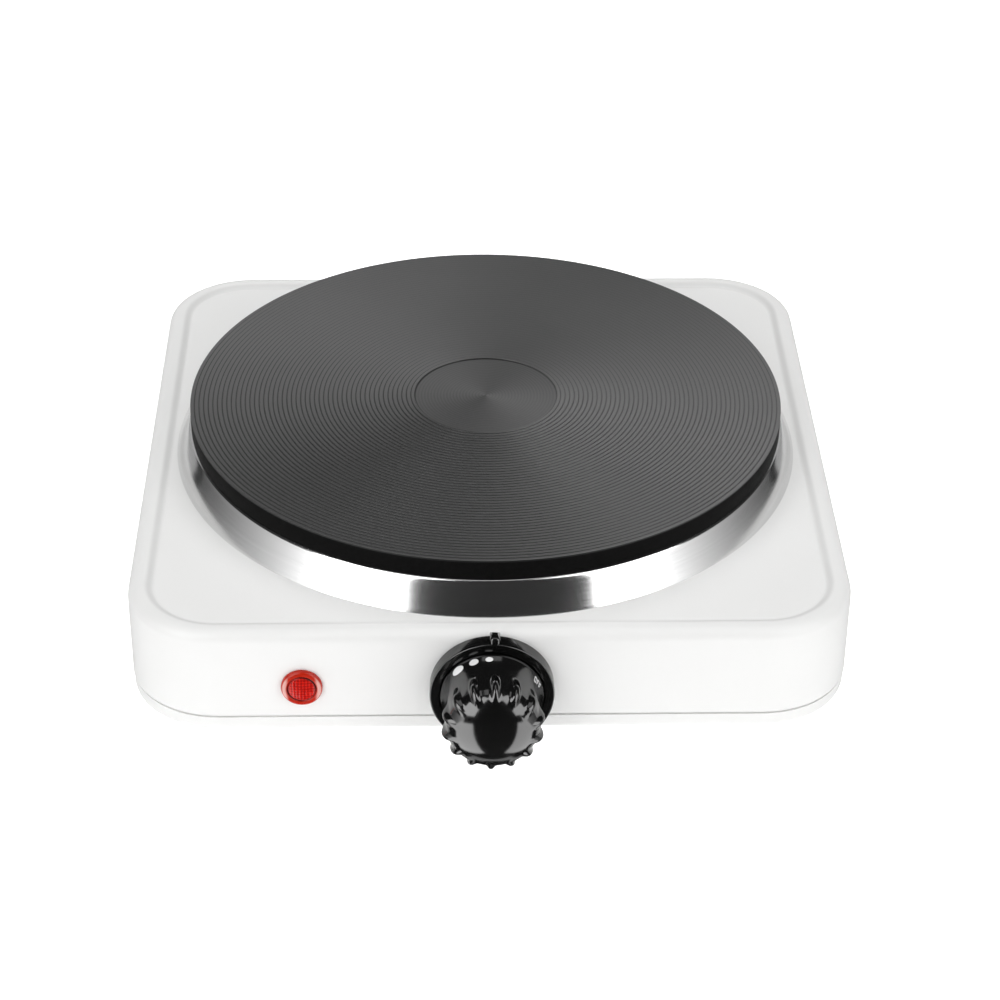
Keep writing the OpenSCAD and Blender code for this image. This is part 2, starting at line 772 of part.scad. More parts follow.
module fixed_blade() color("goldenrod") on_front() {
    blade(blade_tip_x, tab_x + tab_l, fixed_front);
    translate([contact_x, 0]) rod(contact_r, fixed_front, fixed_front + contact_t);
}

pin_socket = 3;
module adjusting_pin() color("ivory") on_front()
    rod(pin_d / 2, blade_front + running, shaft_back + pin_socket - 0.6);

module thermostat_shaft() color("silver") on_front() difference() {
    rod(shaft_r, shaft_back, shaft_front);
    rod(pin_d / 2 + shaft_gap, shaft_back - 1, shaft_back + pin_socket);
    box([-shaft_r, shaft_flat, bush_front + 0.3], [shaft_r, 2 * shaft_r, shaft_front + 1]);
}

module stop_arm() color("lightgray") on_front() translate([0, 0, arm_front - arm_t]) difference() {
    linear_extrude(arm_t) {
        circle(arm_hub_r);
        intersection() {
            circle(arm_r);
            rotate(arm_angle) polygon([
                [0, 0],
                [2 * arm_r, -2 * arm_r * tan(arm_half)],
                [2 * arm_r, 2 * arm_r * tan(arm_half)]]);
        }
    }
    translate([0, 0, -1]) cylinder(r = shaft_r + thread_gap, h = arm_t + 2);
}

// Knob: skirt, waist, grip and domed face, with ribs that stand out most at the face
grip_r = grip_d / 2;
skirt_r = skirt_d / 2;
knob_outline = [
    [skirt_r - knob_wall, skirt_back],
    [skirt_r, skirt_back],
    [skirt_r, bezel_depth + 0.6],
    [skirt_r - 0.5, skirt_front - 0.6],
    [skirt_r - 1.3, skirt_front + 0.8],
    [grip_r + 0.25, grip_start],
    [grip_r, grip_start + 3],
    [grip_r - 0.3, grip_end - 2.4],
    [grip_r - 0.9, grip_end - 1],
    [grip_r - 2.2, grip_end]];
dome_r = grip_r - 2.2;
dome_points = [for (i = [1 : 8]) let (r = dome_r * (1 - i / 8))
    [r, grip_end + dome_h * (1 - pow(r / dome_r, 2))]];
knob_face = grip_end - knob_wall;

module knob() color("black") on_front() {
    difference() {
        union() {
            rotate_extrude() polygon(concat(knob_outline, dome_points, [[0, skirt_back]]));
            for (i = [0 : rib_count - 1]) rotate(first_rib + i * 360 / rib_count)
                translate([grip_r - rib_d / 4, 0, 0]) {
                rod(rib_d / 2, skirt_front + 1.2, grip_end - rib_d / 2);
                translate([0, 0, grip_end - rib_d / 2]) sphere(d = rib_d);
            }
        }
        rod(grip_r - knob_wall, skirt_back - 1, knob_face);
    }
    difference() {
        rod(hub_r, hub_back, knob_face + 0.5);
        difference() {
            rod(shaft_r + shaft_gap, hub_back - 1, shaft_front + 0.4);
            box([-2 * shaft_r, shaft_flat + shaft_gap, hub_back],
                [2 * shaft_r, 2 * shaft_r, shaft_front + 2]);
        }
    }
}

module knob_clip() color("silver") on_front() difference() {
    washer(hub_r + clip_t, hub_r, hub_back + 1, hub_back + 1 + clip_l);
    box([-0.8, -2 * hub_r, hub_back], [0.8, 0, hub_back + 2 + clip_l]);
}

// Pilot lamp: domed lens through the wall, a clip behind the wall, a holder, a neon bulb and its resistor
module lamp_lens() color("red") on_front(-lamp_x, z_lamp) {
    out_r = lamp_d / 2;
    rotate_extrude() polygon([
        [lamp_r, 0],
        [out_r, 0],
        [out_r, 0.7],
        [out_r - 0.6, lamp_flange_t - 0.3],
        [out_r - 1.4, lamp_flange_t],
        [out_r - 2.1, lamp_flange_t - 0.5],
        [out_r - 2.3, lamp_flange_t],
        [0, lamp_flange_t + 0.4],
        [0, 0.4],
        [lamp_r - 1, 0.4],
        [lamp_r - 1, lens_back],
        [lamp_r, lens_back]]);
}

module lamp_holder() color("white") on_front(-lamp_x, z_lamp) difference() {
    rod(lamp_r, holder_back, lens_back);
    rod(bulb_r + 0.5, holder_back + 1.5, lens_back + 1);
    for (x = [-1, 1]) translate([x * lamp_pin_x, 0]) rod(thin_r, holder_back - 1, lens_back);
}

module lamp_clip() color("silver") on_front(-lamp_x, z_lamp)
    washer(lamp_r + 1.6, lamp_r + thread_gap, -sheet_t - 0.5, -sheet_t);

module neon_bulb() color("orange") on_front(-lamp_x, z_lamp) {
    rod(bulb_r, holder_back + 2, lens_back + 2);
    translate([0, 0, lens_back + 2]) sphere(bulb_r - 0.1);
}

module lamp_resistor() color("tan") on_front(-lamp_x, z_lamp) translate([lamp_pin_x, 0])
    rod(1.3, holder_back - resistor_gap - resistor_l, holder_back - resistor_gap);

// Cord gland: flange outside, barrel through the wall, nut inside; the mains cord itself is left out
module cord_gland() color("dimgray") on_rear(-gland_x) difference() {
    union() {
        rod(gland_r, 0, 2);
        translate([0, 0, 2]) cylinder(r1 = gland_r - 0.8, r2 = gland_bore / 2 + 1.6, h = gland_out - 2);
        rod(gland_barrel_r, -sheet_t - gland_nut_t - 1, 0);
    }
    rod(gland_bore / 2, -20, 20);
}

module gland_nut() color("dimgray") on_rear(-gland_x) difference() {
    hex(2 * gland_barrel_r + 2.6, -sheet_t - gland_nut_t, -sheet_t);
    rod(gland_barrel_r + thread_gap, -20, 20);
}

// Three-pole ceramic terminal block on the base, in line with the gland
module on_block() {
    translate([-gland_x, block_y, z_floor]) children();
}

module terminal_block() color("ivory") on_block() difference() {
    box([-block_l / 2, -block_w / 2, 0], [block_l / 2, block_w / 2, block_h]);
    for (i = [-1 : 1]) translate([i * pole_pitch, 0]) {
        translate([0, 0, z_wire - z_floor]) rotate([90, 0, 0])
            cylinder(r = wire_hole_r, h = 2 * block_w, center = true);
        for (y = [-1, 1]) translate([0, y * block_w / 4])
            rod(clamp_screw_r + screw_gap, z_wire - z_floor, block_h + 1);
    }
    for (x = [-1, 1]) translate([x * pole_pitch / 2, 0]) {
        rod(block_screw_r + screw_gap, -1, block_h + 1);
        rod(block_head_r + screw_gap, block_h - 3, block_h + 1);
    }
}

// Slotted screw head or body, with its slot at the top
module slotted(r, low, high) difference() {
    rod(r, low, high);
    box([-2 * r, -0.4, high - 1], [2 * r, 0.4, high + 1]);
}

module clamp_screws() color("silver") on_block()
    for (i = [-1 : 1], y = [-1, 1]) translate([i * pole_pitch, y * block_w / 4])
        slotted(clamp_screw_r, z_wire - z_floor + lead_r + 0.1, block_h - 1);

module block_screws() color("silver") on_block() for (x = [-1, 1]) translate([x * pole_pitch / 2, 0]) {
    slotted(block_head_r, block_h - 3, block_h - 1);
    rod(block_screw_r, -base_t - 2, block_h - 3);
}

module earth_screw() color("silver") translate([earth_x, earth_y]) {
    rod(earth_r, z_base, z_floor + 9);
    rod(1.8 * earth_r, z_base - earth_r, z_base);
}

// Ring tongue of the earth lead, and the flanged nut that holds it on the base
module earth_tongue() color("gold") translate([earth_x, earth_y]) difference() {
    union() {
        rod(tongue_r, z_floor, z_tongue);
        box([0, -tongue_w / 2, z_floor], [tongue_l, tongue_w / 2, z_tongue]);
    }
    rod(earth_r + screw_gap, z_floor - 1, z_tongue + 1);
}

module earth_nut() color("silver") translate([earth_x, earth_y]) difference() {
    union() {
        rod(tongue_r, z_tongue, z_tongue + 0.8);
        hex(7, z_tongue, z_tongue + earth_nut_h);
    }
    rod(earth_r + thread_gap, z_floor, z_tongue + 2 * earth_nut_h);
}

// Push-on terminals over the four flat tabs
function front_place(x, out) = [x, -wall - out, z_knob];
fixed_tab = front_place(tab_x + tab_l, fixed_front - blade_t / 2);
root_tab = front_place(tab_x + tab_l, blade_front - blade_t / 2);
plate_tab_left = [-terminal_x, terminal_y, z_tab];
plate_tab_right = [terminal_x, terminal_y, z_tab];
tab_in = 7;
tab_end = 2;

module socket_x(tip, w, t) translate([tip[0] - tab_in, tip[1], tip[2]]) difference() {
    box([0, -t / 2 - 0.6, -w / 2 - 0.7], [tab_in + tab_end, t / 2 + 0.6, w / 2 + 0.7]);
    box([-1, -t / 2 - thread_gap, -w / 2 - thread_gap],
        [tab_in + 0.3, t / 2 + thread_gap, w / 2 + thread_gap]);
}

module socket_z(tip, w, t) translate(tip) difference() {
    box([-w / 2 - 0.7, -t / 2 - 0.9, -tab_end], [w / 2 + 0.7, t / 2 + 0.9, tab_in]);
    box([-w / 2 - thread_gap, -t / 2 - thread_gap, -0.3],
        [w / 2 + thread_gap, t / 2 + thread_gap, tab_in + 1]);
}

module push_on_terminals() color("gold") {
    socket_x(fixed_tab, blade_w, blade_t);
    socket_x(root_tab, blade_w, blade_t);
    socket_z(plate_tab_left, tab_w, tab_t);
    socket_z(plate_tab_right, tab_w, tab_t);
}

// Leads, each straight out of what it joins. Two leads share the neutral pole side by side
block_front = block_y - block_w / 2;
in_block = 4;
side_gap = 0.15;
function pole(i, r, side) =
    [-gland_x + i * pole_pitch + side * (wire_hole_r - r - side_gap), block_front + in_block, z_wire];
function out_of_pole(p) = [p, p - [0, in_block + 2, 0], p - [0, in_block + 8, 0]];
function into_tab(tip, way, bend = [0, 0, 0]) = [tip + 8 * way + bend, tip + 3 * way, tip];
sideways = [1, 0, 0];
fixed_tip = fixed_tab + [tab_end, 0, 0];
root_tip = root_tab + [tab_end, 0, -lead_r - side_gap];
root_thin_tip = root_tab + [tab_end, 0, thin_r + side_gap];
left_tip = plate_tab_left - [0, 0, tab_end];
right_tip = plate_tab_right - [0, 0, tab_end];
down = [0, 0, -1];
fuse_live = [fuse_x + fuse_l / 2 + fuse_wire, fuse_y, z_fuse];
fuse_load = [fuse_x - fuse_l / 2 - fuse_wire, fuse_y, z_fuse];
// Heights at which the leads cross the floor, one above the other, and the lanes that they follow
z_low_lead = z_floor + 3;
z_high_lead = z_floor + 9;
z_over = z_knob + 6;
left_lane = 30;
mid_lane = 10;
right_lane = 50;
front_lane = 76;
back_lane = 55;
near_stud = 14;

module live_lead() color("brown") lead(concat(
    out_of_pole(pole(-1, lead_r, -1)),
    [[-left_lane, near_stud, z_low_lead + 2], [mid_lane, -left_lane, z_high_lead]],
    [[right_lane, -front_lane, z_low_lead + 2]],
    into_tab(fixed_tip, sideways, [1, 1.5, -1.5])));

module neutral_lead() color("royalblue") lead(concat(
    out_of_pole(pole(1, lead_r, 1)),
    [[2 - left_lane, back_lane, z_low_lead - 1], [13 - left_lane, back_lane, z_low_lead - 1]],
    into_tab(left_tip, down * 0.5)));

module switched_lead() color("black") lead(concat(
    [root_tip, root_tip + [3, 0, 0], root_tip + [7, 0, 1.5], root_tip + [15, 2, 5]],
    [[right_lane + 4, 4 - wall * 0.8, z_over + 1]],
    into_tab(fuse_live, sideways)));

module element_lead() color("black") lead(concat(
    [fuse_load, fuse_load - [3, 0, 0], fuse_load - [7, 1, 2]],
    [[mid_lane - 2, fuse_y - 6, z_knob], [mid_lane - 6, fuse_y + 10, z_low_lead + 1]],
    [[mid_lane + 2, 0, z_low_lead], [mid_lane + 2, back_lane - 5, z_low_lead - 1]],
    into_tab(right_tip, down * 0.5)));

module earth_lead() color("yellowgreen") lead(concat(
    out_of_pole(pole(0, lead_r, -1)),
    [[-gland_x - 6, back_lane - 5, z_tongue + 0.6]],
    into_tab([earth_x + tongue_l, earth_y, z_tongue + 0.2], sideways)));

module lamp_leads() color("white") {
    right = [-lamp_x + lamp_pin_x, -wall - holder_back, z_lamp];
    left = [-lamp_x - lamp_pin_x, -wall - holder_back, z_lamp];
    far = right + [0, resistor_gap + resistor_l, 0];
    lead([right, right + [0, resistor_gap / 2, 0], right + [0, resistor_gap, 0]], thin_r);
    lead(concat(
        [far, far + [0, 3, 0], [-left_lane, -front_lane + 10, z_knob - 1]],
        [[mid_lane, 6 - front_lane, z_knob - 1], [left_lane, -front_lane, z_over],
            [right_lane - 9, -front_lane - 10, z_over + 2]],
        [root_thin_tip + [7, 1, 3], root_thin_tip + [3, 0, 0], root_thin_tip]), thin_r);
    back_to_block = out_of_pole(pole(1, thin_r, -1));
    lead([left, left + [0, 5, 0], left + [0, 10, -1], [-left_lane * 2, -left_lane, z_high_lead - 3],
        [-left_lane - near_stud, near_stud + 6, z_high_lead + 1],
        [-left_lane - 5, back_lane - 7, z_high_lead - 2],
        back_to_block[2] - [1, 0, 0], back_to_block[1], back_to_block[0]], thin_r);
}

housing();
base_plate();
foot_front_left();
foot_front_right();
foot_rear_left();
foot_rear_right();
foot_screws();
corner_posts();
hot_plate();
heating_coil();
insulation();
plate_cover();
spill_ring();
centre_stud();
cover_washer();
cover_nut();
heat_shield();
clamp_bridge();
bridge_washer();
bridge_nut();
plate_terminals();
terminal_beads();
thermal_fuse();
fuse_clip();
bezel();
bush_nut();
thermostat_frame();
thermostat_bush();
stack_insulators();
stack_rivet();
bimetal_strip();
blade_root();
contact_blade();
fixed_blade();
adjusting_pin();
thermostat_shaft();
stop_arm();
knob();
knob_clip();
lamp_lens();
lamp_holder();
lamp_clip();
neon_bulb();
lamp_resistor();
cord_gland();
gland_nut();
terminal_block();
block_screws();
clamp_screws();
earth_screw();
earth_tongue();
earth_nut();
push_on_terminals();
live_lead();
switched_lead();
element_lead();
neutral_lead();
earth_lead();
lamp_leads();
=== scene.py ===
# %% [markdown]
# # Dressing a single hot plate for the camera
#
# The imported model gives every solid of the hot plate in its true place, in metres, with the front
# of the housing towards -Y and the worktop at Z 0. This lesson keeps those solids where they are and
# makes finer pieces for the parts that the eye meets first: the enamelled housing, the turned iron
# plate, the polished spill ring, the knob with its bezel, and the pilot lamp's lens.

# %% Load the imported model
import json
import math

import bmesh
import bpy
from mathutils import Matrix, Vector


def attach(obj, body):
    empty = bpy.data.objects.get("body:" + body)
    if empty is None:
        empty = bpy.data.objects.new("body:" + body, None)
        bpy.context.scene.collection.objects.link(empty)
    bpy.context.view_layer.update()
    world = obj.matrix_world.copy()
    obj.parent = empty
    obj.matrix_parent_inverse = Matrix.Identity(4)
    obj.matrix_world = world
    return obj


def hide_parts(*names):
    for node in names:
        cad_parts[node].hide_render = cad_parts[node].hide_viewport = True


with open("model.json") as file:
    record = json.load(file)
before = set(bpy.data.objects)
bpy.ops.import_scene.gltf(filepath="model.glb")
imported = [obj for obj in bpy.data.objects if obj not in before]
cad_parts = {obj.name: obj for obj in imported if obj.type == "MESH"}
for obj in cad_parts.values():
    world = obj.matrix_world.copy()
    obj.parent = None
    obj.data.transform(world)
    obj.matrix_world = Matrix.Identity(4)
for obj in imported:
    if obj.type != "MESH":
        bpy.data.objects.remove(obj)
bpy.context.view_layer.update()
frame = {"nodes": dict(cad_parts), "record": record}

# %% [markdown]
# ## Camera
#
# The appliance is looked at from above and a little from the left, with a long lens, as in a shop's
# catalogue. A camera can be placed by hand until it looks right, or worked out from known points. Here
# its place and its three angles were worked out from the corners of the housing and the rim of the
# plate, so they are given as plain numbers and turned into the camera's own axes.

# %% Camera: place, pitch, yaw, roll and lens
PITCH, YAW, ROLL = math.radians(33.315), math.radians(1.6), math.radians(-0.56)
STAND = (-0.01571, -0.73452, 0.50239)   # where the camera stands, in metres
LENS, SENSOR = 98.14, 36                # in millimetres
forward = Vector((math.sin(YAW) * math.cos(PITCH), math.cos(YAW) * math.cos(PITCH), -math.sin(PITCH)))
level_right = Vector((math.cos(YAW), -math.sin(YAW), 0))
level_down = forward.cross(level_right)
right = level_right * math.cos(ROLL) + level_down * math.sin(ROLL)
down = level_down * math.cos(ROLL) - level_right * math.sin(ROLL)
turn = Matrix((right, -down, -forward)).transposed().to_4x4()
bpy.ops.object.camera_add()
camera = bpy.context.object
camera.matrix_world = Matrix.Translation(STAND) @ turn
camera.data.lens = LENS
camera.data.sensor_width = SENSOR
bpy.context.scene.camera = camera
print("camera looks down by", round(math.degrees(PITCH), 2), "degrees")

# %% [markdown]
# ## Sizes
#
# The pieces repeat the sizes of the solids, so that they drop into the same places. They are written
# in millimetres, because that is how such an appliance is drawn, and turned into metres once, in the
# helpers. Heights are measured from the worktop, radii from the plate's axis.

# %% Sizes shared by several pieces, in millimetres
MM = 0.001
WALL = 106.2          # from the plate's axis to the housing's outer wall
CORNER_R = 27.0       # outer corner radius of the housing
SHEET = 0.8           # thickness of the housing's steel
Z_SEAM, Z_PANEL, Z_CREST = 14.2, 42.8, 43.8   # base and housing meet; flat panel; top of its border
Z_RIM, Z_TOP = 52.8, 59.5     # underside of the plate's rim; top of its ridges
Z_CASTING, Z_ROOF = 36.5, 52.0   # lower edge of the plate's casting; roof of the hollow inside it
OPENING_R, CASTING_R, PLATE_R = 90.0, 88.0, 92.5
Z_KNOB, Z_LAMP = 24.9, 25.3   # heights of the axes of the knob and of the lamp
LAMP_X, GLAND_X, Z_GLAND = -54.8, -40.0, 26.0
BUSH_R = 5.25         # clearance hole for the thermostat's bush
print("housing is", 2 * WALL, "mm wide")

# %% [markdown]
# ## Working in edit mode from a script
#
# Every operator acts on what is selected. By hand one clicks; here the script deselects everything
# and then picks corners, edges or faces by a test on their place or direction.


# %% Helpers: a clean start, and picking parts of a mesh
def nothing_selected():
    """Leaves edit mode and deselects every object."""
    if bpy.context.object and bpy.context.object.mode != "OBJECT":
        bpy.ops.object.mode_set(mode="OBJECT")
    bpy.ops.object.select_all(action="DESELECT")


def pick(piece, kind, test):
    """In edit mode, selects the VERTs, EDGEs or FACEs that pass the test, and says how many they are."""
    bpy.ops.mesh.select_mode(type=kind)
    bpy.ops.mesh.select_all(action="DESELECT")
    mesh = bmesh.from_edit_mesh(piece.data)
    parts = {"VERT": mesh.verts, "EDGE": mesh.edges, "FACE": mesh.faces}[kind]
    found = [part for part in parts if test(part)]
    for part in found:
        part.select_set(True)
    mesh.select_flush_mode()
    bmesh.update_edit_mesh(piece.data)
    return len(found)


def settle(piece, angle=30):
    """Applies the piece's place to its mesh, and smooths its faces up to an angle between them."""
    nothing_selected()
    piece.select_set(True)
    bpy.context.view_layer.objects.active = piece
    bpy.ops.object.transform_apply(location=True, rotation=True, scale=True)
    bpy.ops.object.shade_smooth_by_angle(angle=math.radians(angle))
    print(piece.name, "has", sum(len(face.vertices) - 2 for face in piece.data.polygons), "triangles")


def with_modifier(piece, kind, **settings):
    """Adds a modifier, sets it and applies it."""
    nothing_selected()
    piece.select_set(True)
    bpy.context.view_layer.objects.active = piece
    bpy.ops.object.modifier_add(type=kind)
    modifier = piece.modifiers[-1]
    for name, value in settings.items():
        setattr(modifier, name, value)
    bpy.ops.object.modifier_apply(modifier=modifier.name)


# %% [markdown]
# ## Turned pieces
#
# The plate, its spill ring, the knob, the bezel and the lens are all round. On a lathe one profile
# makes the whole piece, and Blender's spin does the same: a single point is drawn out along the
# profile by extruding, and the profile is spun all the way round its axis. Sharp corners catch no
# light, so a helper rounds each corner of the profile first.


# %% Helpers: a rounded profile, and a piece turned from it
def rounded(*corners, steps=4):
    """A profile through corners (radius, height, rounding), each one eased by a small curve."""
    points = []
    for i, corner in enumerate(corners):
        here = Vector(corner[:2])
        ease = corner[2] if len(corner) > 2 else 0
        if ease == 0 or i in (0, len(corners) - 1):
            points.append(tuple(here))
            continue
        before, after = Vector(corners[i - 1][:2]) - here, Vector(corners[i + 1][:2]) - here
        start = here + before.normalized() * min(ease, 0.45 * before.length)
        end = here + after.normalized() * min(ease, 0.45 * after.length)
        for step in range(steps + 1):
            t = step / steps
            points.append(tuple(start * (1 - t) ** 2 + here * (2 * t * (1 - t)) + end * t ** 2))
    return points


def upright(radius, height):
    """A profile's point for a piece whose axis is the plate's."""
    return Vector((radius, 0, height)) * MM


def on_front(x, z):
    """The same for a piece on the front wall: its axis points out of the wall at x and z."""
    return lambda radius, out: Vector((x + radius, -WALL - out, z)) * MM


def turned(name, profile, place, steps):
    """Draws the profile out point by point, spins it round its axis, and closes it."""
    nothing_selected()
    bpy.ops.mesh.primitive_plane_add(size=0.001, location=(0, 0, 0))
    piece = bpy.context.object
    piece.name = piece.data.name = name
    bpy.ops.object.mode_set(mode="EDIT")
    bpy.ops.mesh.select_mode(type="VERT")
    bpy.ops.mesh.select_all(action="SELECT")
    bpy.ops.mesh.merge(type="CENTER")
    bpy.ops.transform.translate(value=place(*profile[0]))
    for here, there in zip(profile, profile[1:]):
        step = place(*there) - place(*here)
        bpy.ops.mesh.extrude_region_move(TRANSFORM_OT_translate={"value": step})
    bpy.ops.mesh.select_all(action="SELECT")
    axis = (place(0, 1) - place(0, 0)).normalized()
    bpy.ops.mesh.spin(steps=steps, angle=2 * math.pi, center=place(0, 0), axis=axis)
    bpy.ops.mesh.select_all(action="SELECT")
    bpy.ops.mesh.remove_doubles(threshold=2e-6)
    bpy.ops.mesh.delete_loose()
    bpy.ops.mesh.select_all(action="SELECT")
    bpy.ops.mesh.normals_make_consistent(inside=False)
    bpy.ops.object.mode_set(mode="OBJECT")
    settle(piece)
    return piece


# %% [markdown]
# ## Housing
#
# The housing is one sheet of 0.8 mm steel, pressed into a shallow box with round corners, a rounded
# shoulder, a raised border and a step down to the flat panel, and then enamelled white. At the foot
# of the step the sheet dips a little before it comes up to the panel, and that groove, with a painted
# shade laid over it in the enamel's finish, draws the line that one sees round the border. Turning
# can't make a square, so the housing starts as a cube: its upright edges are bevelled to the corner
# radius, the bottom is opened, the top edge is bevelled into the shoulder, and the border, the step
# and the groove are insets. All of it is one skin, which is given the sheet's thickness at the end,
# inwards.


# %% Housing: cube, corners, shoulder, border and step
def from_wall(point):
    """Distance of a point from the housing's outer wall, in millimetres, measured inwards."""
    x, y, flat = abs(point.x) / MM, abs(point.y) / MM, WALL - CORNER_R
    if x > flat and y > flat:
        return CORNER_R - math.hypot(x - flat, y - flat)
    return WALL - max(x, y)


def near(value, target, gap=0.02):
    """True where two numbers are closer than a gap."""
    return abs(value - target) < gap


def loop_at(height, inwards):
    """A test for edges that lie at a height and at a distance from the wall."""
    return lambda edge: all(
        near(v.co.z / MM, height) and near(from_wall(v.co), inwards, 0.12) for v in edge.verts)


SHOULDER = 3.4        # width of the rounded shoulder
CREST = 1.8           # width of the border's flat top
SLOPE = 2.0           # width of the step down from the border
FOOT = 1.0            # width of the groove's rise back to the panel
GROOVE = 0.15         # how far the foot of the step lies below the panel
SEAM_GAP = 0.7        # gap between the housing's lower edge and the base
nothing_selected()
bpy.ops.mesh.primitive_cube_add(
    size=1, location=(0, 0, (Z_SEAM + Z_CREST) / 2 * MM),
    scale=(2 * WALL * MM, 2 * WALL * MM, (Z_CREST - Z_SEAM) * MM))
housing = bpy.context.object
housing.name = housing.data.name = "housing_shell"
bpy.ops.object.transform_apply(location=True, rotation=True, scale=True)
bpy.ops.object.mode_set(mode="EDIT")
pick(housing, "EDGE", lambda e: abs(e.verts[0].co.z - e.verts[1].co.z) > 10 * MM)
bpy.ops.mesh.bevel(offset=CORNER_R * MM, segments=16, affect="EDGES")
pick(housing, "FACE", lambda f: f.normal.z < -0.9)
bpy.ops.mesh.delete(type="FACE")
print("top edges:", pick(housing, "EDGE", lambda e: all(near(v.co.z / MM, Z_CREST) for v in e.verts)))
bpy.ops.mesh.bevel(offset=SHOULDER * MM, segments=7, affect="EDGES")
pick(housing, "FACE", lambda f: f.normal.z > 0.999 and len(f.verts) > 12)
bpy.ops.mesh.inset(thickness=CREST * MM, depth=0)
bpy.ops.mesh.inset(thickness=SLOPE * MM, depth=-(Z_CREST - Z_PANEL + GROOVE) * MM)
bpy.ops.mesh.inset(thickness=FOOT * MM, depth=GROOVE * MM)
for loop, height, inwards, ease, segments in (
        ("crest", Z_CREST, SHOULDER + CREST, 0.8, 5),
        ("groove", Z_PANEL - GROOVE, SHOULDER + CREST + SLOPE, 0.3, 3),
        ("panel", Z_PANEL, SHOULDER + CREST + SLOPE + FOOT, 0.4, 3)):
    print(loop, "loop:", pick(housing, "EDGE", loop_at(height, inwards)))
    bpy.ops.mesh.bevel(offset=ease * MM, segments=segments, affect="EDGES")
print("lower edge:", pick(housing, "VERT", lambda v: near(v.co.z / MM, Z_SEAM)))
bpy.ops.transform.translate(value=(0, 0, SEAM_GAP * MM))

# %% [markdown]
# The opening for the plate is a circle in a rounded square. Instead of cutting it, the panel's face
# is taken out, a circle is laid in, and the two rims are bridged. The rim of the circle is then drawn
# down as the collar that stiffens the real sheet.

# %% Housing: opening, collar and thickness
COLLAR = 3.8          # how far the opening's rim is drawn down
pick(housing, "FACE", lambda f: f.normal.z > 0.999 and len(f.verts) > 12)
bpy.ops.mesh.delete(type="ONLY_FACE")
bpy.ops.mesh.primitive_circle_add(
    vertices=128, radius=OPENING_R * MM, fill_type="NOTHING", location=(0, 0, Z_PANEL * MM))
pick(housing, "EDGE", lambda e: len(e.link_faces) < 2 and all(near(v.co.z / MM, Z_PANEL) for v in e.verts))
bpy.ops.mesh.bridge_edge_loops()
pick(housing, "EDGE", lambda e: all(near(v.co.to_2d().length / MM, OPENING_R, 0.05) for v in e.verts))
bpy.ops.mesh.extrude_region_move(TRANSFORM_OT_translate={"value": (0, 0, -COLLAR * MM)})
bpy.ops.mesh.select_all(action="SELECT")
bpy.ops.mesh.normals_make_consistent(inside=False)
panel_up = sum(f.normal.z * f.calc_area() for f in bmesh.from_edit_mesh(housing.data).faces)
if panel_up < 0:
    bpy.ops.mesh.flip_normals()
bpy.ops.object.mode_set(mode="OBJECT")
with_modifier(housing, "SOLIDIFY", thickness=SHEET * MM, offset=-1, use_even_offset=True)
print("skin faces up:", panel_up > 0)


# %% Housing: holes for the bush, the bezel's peg, the lamp and the gland
def drilled(piece, x, y, z, radius):
    """Drills a hole along Y with a cylinder."""
    nothing_selected()
    bpy.ops.mesh.primitive_cylinder_add(
        vertices=40, radius=radius * MM, depth=6 * MM,
        location=(x * MM, y * MM, z * MM), rotation=(math.radians(90), 0, 0))
    drill = bpy.context.object
    with_modifier(piece, "BOOLEAN", object=drill, operation="DIFFERENCE", solver="EXACT")
    bpy.data.objects.remove(drill)


for x, y, z, radius in (
        (0, -WALL, Z_KNOB, BUSH_R),         # the thermostat's bush
        (0, -WALL, Z_KNOB + 11, 1.125),     # the peg that keeps the bezel from turning
        (LAMP_X, -WALL, Z_LAMP, 5.125),     # the lens's sleeve
        (GLAND_X, WALL, Z_GLAND, 6.25)):    # the cord gland
    drilled(housing, x, y, z, radius)
settle(housing)
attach(housing, "body")
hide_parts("housing")

# %% [markdown]
# ## Iron plate
#
# The plate is cast iron, turned on its face: 48 shallow ridges run round a smooth disc that lies half
# a millimetre lower, so that a pan touches the ridges alone. A picture of ridges would do from far
# away, but real ones catch the light at every angle, so each one is in the profile. A turning tool
# leaves a steep wall on one side of its cut and a long, shallow slope on the other, which is why the
# rings show plainly in front and fade at the back.

# %% Iron plate: profile with its ridges
RIDGES, RIDGE_PITCH, RIDGE_DEPTH = 48, 1.44, 0.25
DISC_R, DISC_DROP = 22.25, 0.5   # the smooth disc, and how far it lies below the ridges
FIRST_RIDGE = DISC_R + 0.6
CAVITY_R, BOSS_R = 83, 12        # the casting's hollow, and the boss in its middle
STUD_R, Z_STUD = 3.05, 55        # the blind hole for the centre stud
face = [(0, Z_TOP - DISC_DROP), (DISC_R - 0.15, Z_TOP - DISC_DROP),
        (DISC_R + 0.1, Z_TOP - 0.42), (DISC_R + 0.3, Z_TOP - 0.06)]
for i in range(RIDGES):
    r = FIRST_RIDGE + i * RIDGE_PITCH
    face += [(r, Z_TOP), (r + 0.5, Z_TOP), (r + 0.62, Z_TOP - RIDGE_DEPTH), (r + 0.7, Z_TOP - RIDGE_DEPTH)]
face.append((FIRST_RIDGE + RIDGES * RIDGE_PITCH, Z_TOP))
side = rounded(
    (PLATE_R - 0.45, Z_TOP), (PLATE_R, Z_TOP, 0.2), (PLATE_R, Z_RIM, 0.3), (CASTING_R, Z_RIM),
    (CASTING_R, Z_CASTING, 0.6), (CAVITY_R, Z_CASTING, 0.6), (CAVITY_R, Z_ROOF), (BOSS_R, Z_ROOF),
    (BOSS_R, Z_CASTING, 0.5), (STUD_R, Z_CASTING), (STUD_R, Z_STUD), (0, Z_STUD))
plate = turned("iron_plate", face + side, upright, 192)
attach(plate, "body")
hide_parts("hot_plate")
print("ridges:", RIDGES)

